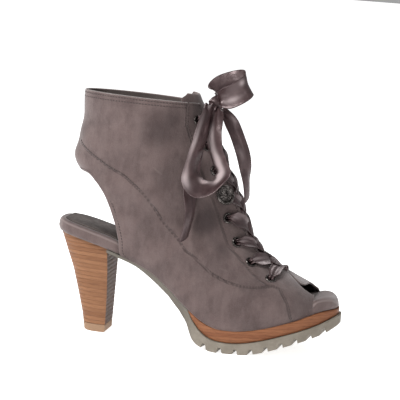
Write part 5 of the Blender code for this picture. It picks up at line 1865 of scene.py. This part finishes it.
@dataclass(frozen=True)
class Zip:
    """The zip on the inner side: tape, teeth, slider and the pull that swings on its pin."""

    teeth: int = 184  # in both rows together
    shield: tuple[tuple[float, float], ...] = (  # the slider's outline from its middle, in millimetres
        (-3.9, 3.6), (-2.6, 5.0), (2.6, 5.0), (3.9, 3.6), (3.7, 0.0), (2.6, -4.2), (1.6, -5.0), (-1.6, -5.0),
        (-2.6, -4.2), (-3.7, 0.0),
    )
    shield_levels: tuple[tuple[float, float], ...] = (  # height in millimetres, and share of the outline
        (0.0, 0.0), (0.0, 0.86), (0.25, 0.97), (0.6, 1.0), (1.9, 1.0), (2.3, 0.95), (2.6, 0.8), (2.6, 0.0),
    )
    lug: tuple[tuple[float, float], ...] = (
        (0.0, 0.0), (0.0, 1.7), (0.3, 1.9), (0.9, 1.9), (1.2, 1.6), (1.2, 0.0),
    )
    pin_profile: tuple[tuple[float, float], ...] = ((-2.0, 0.0), (-2.0, 0.75), (2.0, 0.75), (2.0, 0.0))
    tab: tuple[tuple[float, float], ...] = (  # half the pull's outline, down from the pin
        (1.45, 0.0), (1.5, -2.4), (1.9, -4.2), (2.6, -6.4), (2.8, -9.0), (2.8, -15.5), (2.6, -18.2),
        (1.7, -19.7), (0.0, -20.0),
    )
    tab_levels: tuple[tuple[float, float], ...] = (
        (1.0, 0.25), (0.9, 0.52), (0.76, 0.55), (0.66, 0.38), (0.0, 0.36),
    )
    eye: tuple[tuple[float, float], ...] = (
        (-1.3, 0.9), (-1.5, 1.1), (-1.5, 1.7), (-1.3, 1.9), (1.3, 1.9), (1.5, 1.7), (1.5, 1.1), (1.3, 0.9),
        (-1.3, 0.9),
    )
    turn: float = 96.0
    rows: tuple[float, float] = (0.35, 8.4)
    width: float = 9.0
    slider_row: float = 0.9
    pin: tuple[float, float, float] = (24.771, 36.992, 185.619)

    def frames(self, count: int) -> tuple[np.ndarray, ...]:
        """Even points down the zip with their directions."""
        rows = np.linspace(*self.rows, 400)
        line = LAST.point(rows, np.full(400, self.turn))
        gone = np.concatenate([[0.0], np.cumsum(np.linalg.norm(np.diff(line, axis=0), axis=1))])
        even = np.interp(np.linspace(0, gone[-1], count), gone, rows)
        return LAST.frame(even, np.full(count, self.turn))

    def build(self) -> None:
        """Makes the tape, the teeth, the slider and the pull."""
        point, out, down, _ = self.frames(90)
        side = unit(np.cross(out, down))
        share = np.linspace(-0.5, 0.5, 15)
        lift = 0.9 + 0.5 * smooth((np.abs(share) - 0.14) / 0.06) * smooth((0.5 - np.abs(share)) / 0.1)
        across, up = (share * self.width * MM)[None, :, None], (lift * MM)[None, :, None]
        surface = point[:, None] + side[:, None] * across + out[:, None] * up
        shape = Shape()
        shape.grid(surface)
        tape = shape.mesh("zip_tape_woven")
        thicken(tape, 0.6 * MM)
        settle(tape, TAPE, Slot.ZIP, "zip_tape")
        self.build_teeth()
        self.build_slider()
        self.build_pull()

    def barrel(self, profile: tuple[tuple[float, float], ...], count: int, drop: float = 0.0) -> np.ndarray:
        """Rings round the pin's axis.

        Args:
            profile: Place along the pin and radius, in millimetres.
            count: Points in a ring.
            drop: How far the rings lie out from the axis, in millimetres.

        Returns:
            The rings' points in metres.
        """
        px, py, pz = self.pin
        turn = np.linspace(0, 2 * np.pi, count, endpoint=False)
        return np.stack([
            np.stack([
                np.full(count, px + x), py + radius * np.cos(turn) + drop, pz + radius * np.sin(turn),
            ], axis=1)
            for x, radius in profile
        ]) * MM

    def build_teeth(self) -> None:
        """The two rows of teeth, set half a pitch apart."""
        point, out, down, _ = self.frames(self.teeth)
        side = unit(np.cross(out, down))
        square = ((-1, -1), (1, -1), (1, 1), (-1, 1))
        corners = np.array([[x, y, z] for z in (0, 1) for x, y in square], float)
        faces = np.array([(0, 3, 2, 1), (4, 5, 6, 7), (0, 1, 5, 4), (1, 2, 6, 5), (2, 3, 7, 6), (3, 0, 4, 7)])
        shape = Shape()
        for i in range(self.teeth):
            way = 1 if i % 2 else -1
            narrow = np.where(corners[:, 2:] > 0, 0.72, 1.0)
            at = point[i] + side[i] * way * 0.75 * MM
            box = at + side[i] * corners[:, :1] * narrow * MM + down[i] * corners[:, 1:2] * narrow * 0.33 * MM
            shape.add(box + out[i] * (1.3 + corners[:, 2:] * 1.2) * MM, faces)
        teeth = shape.mesh("zip_teeth")
        face_outwards(teeth)
        bevel(teeth, 0.12 * MM, 2)
        settle(teeth, NICKEL, Slot.NICKEL)

    def build_slider(self) -> None:
        """The shield-shaped slider with its bridge and pin."""
        centre = LAST.point(np.array(self.slider_row), np.array(self.turn))
        base = centre[1] / MM + 0.3 + 0.5 + 1.0 + 0.9 + 0.6
        x0, z0 = centre[0] / MM, centre[2] / MM
        outline = np.array(self.shield)
        at = np.linspace(0, len(outline), 60, endpoint=False)
        closed = np.vstack([outline, outline[:2]])
        edge = np.stack([cubic(closed[:, k], at) for k in (0, 1)], axis=1)
        shape = Shape()
        rings = [
            np.stack([x0 + edge[:, 0] * share, np.full(60, base + y), z0 + edge[:, 1] * share], axis=1)
            for y, share in self.shield_levels
        ]
        shape.grid(np.stack(rings) * MM, closed=True)
        for way in (-1, 1):
            lug = tuple((way * (1.8 + d), radius) for d, radius in self.lug)
            shape.grid(self.barrel(lug, 24, -0.3), closed=True)
        shape.grid(self.barrel(self.pin_profile, 20), closed=True)
        slider = shape.mesh("zip_slider_body", weld=1e-6)
        face_outwards(slider)
        settle(slider, NICKEL, Slot.NICKEL, "zip_slider")

    def build_pull(self) -> None:
        """The tapered tab with its eye, on the pin."""
        px, py, pz = self.pin
        half = np.array(self.tab)
        at = np.linspace(0, len(half) - 1, 44)
        x, z = cubic(half[:, 0], at), cubic(half[:, 1], at)
        shape = Shape()
        edge = np.concatenate([np.stack([x, z], 1), np.stack([-x[::-1], z[::-1]], 1)[1:]])
        for front in (-1, 1):
            rows = []
            for share, deep in self.tab_levels:
                level = np.full(len(edge), py + front * deep)
                rows.append(np.stack([px + edge[:, 0] * share, level, pz + edge[:, 1]], axis=1))
            shape.grid(np.stack(rows) * MM)
        rim = [
            np.stack([px + edge[:, 0], np.full(len(edge), py + deep), pz + edge[:, 1]], axis=1)
            for deep in (-0.25, 0.25)
        ]
        shape.grid(np.stack(rim) * MM)
        shape.grid(self.barrel(self.eye, 28), closed=True)
        pull = shape.mesh("zip_pull_tab", weld=1e-6)
        face_outwards(pull)
        settle(pull, NICKEL, Slot.NICKEL, "zip_pull", body=Body.PULL)


@dataclass(frozen=True)
class Stitching:
    """Rows of stitches along the seams and the turned edges."""

    pitch: float = 2.5 * MM
    length: float = 1.9 * MM
    radius: float = 0.38 * MM
    around: int = 6
    beside_edge: float = 2.8  # degrees from the heel opening's edge

    def lines(self) -> list[tuple[np.ndarray, np.ndarray]]:
        """Points and normals along each row of stitches."""
        found = []
        for side in Side:
            for seam in Upper.seams:
                rows, turns = seam.places(side)
                point, out, _, _ = LAST.frame(rows, turns)
                beside_it = unit(np.cross(unit(np.gradient(point, axis=0)), out)) * side.value
                line = point + beside_it * seam.stitch * MM + out * (0.7 * seam.step + 0.02) * MM
                found.append((line, out))
            found.append(self.row_line(np.full(160, 0.17), np.linspace(20, 180, 160) * side.value))
            found.append(self.row_line(np.full(160, 0.42), np.linspace(44, 180, 160) * side.value))
            rows = np.linspace(5.5, 12.3, 160)
            found.append(self.row_line(rows, (LAST.final(rows) - self.beside_edge) * side.value))
            rows = np.linspace(0.2, 15.6, 200)
            found.append(self.row_line(rows, (LAST.front(rows) + 5.0) * side.value))
        return found

    def row_line(self, rows: np.ndarray, turns: np.ndarray) -> tuple[np.ndarray, np.ndarray]:
        """Points and normals through places on the skin."""
        point, out, _, _ = LAST.frame(rows, turns)
        return point + out * 0.05 * MM, out

    def build(self) -> None:
        """Makes all the stitches as one piece."""
        ring = np.linspace(0, 2 * np.pi, self.around, endpoint=False)
        profile = ((-1.0, 0.05), (-0.8, 0.75), (0.0, 1.0), (0.8, 0.75), (1.0, 0.05))
        shape = Shape()
        for line, out in self.lines():
            even = along_line(line, self.pitch)
            normals = along_line_normals(line, out, even)
            way = unit(np.gradient(even, axis=0))
            side = unit(np.cross(way, normals))
            for point, ahead, up, beside_it in zip(even, way, normals, side):
                circle = beside_it[None] * np.cos(ring)[:, None] + up[None] * np.sin(ring)[:, None]
                rings = [point + ahead * s * self.length / 2 + circle * self.radius * r for s, r in profile]
                shape.grid(np.stack(rings), closed=True)
        obj = shape.mesh("stitches")
        face_outwards(obj)
        settle(obj, THREAD, Slot.NUBUCK)


def along_line_normals(line: np.ndarray, out: np.ndarray, even: np.ndarray) -> np.ndarray:
    """The normals of a line at other points along it."""
    nearest = ((even[:, None] - line[None]) ** 2).sum(-1).argmin(1)
    return out[nearest]


# The boot


def main() -> None:
    """Builds and dresses the boot."""
    logging.basicConfig(level=logging.INFO, format="%(name)s %(message)s")
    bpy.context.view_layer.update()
    Studio().build()
    Bow().build()
    Lacing().build()
    main_form = (Upper(), Tongue(), Footbed(), ForefootPlatform(), Outsole(), BlockHeel())
    for part in (*main_form, Eyelets(), Medal(), Zip(), Stitching()):
        part.build()
        LOG.info("built %s", type(part).__name__)


if __name__ == "__main__":
    main()
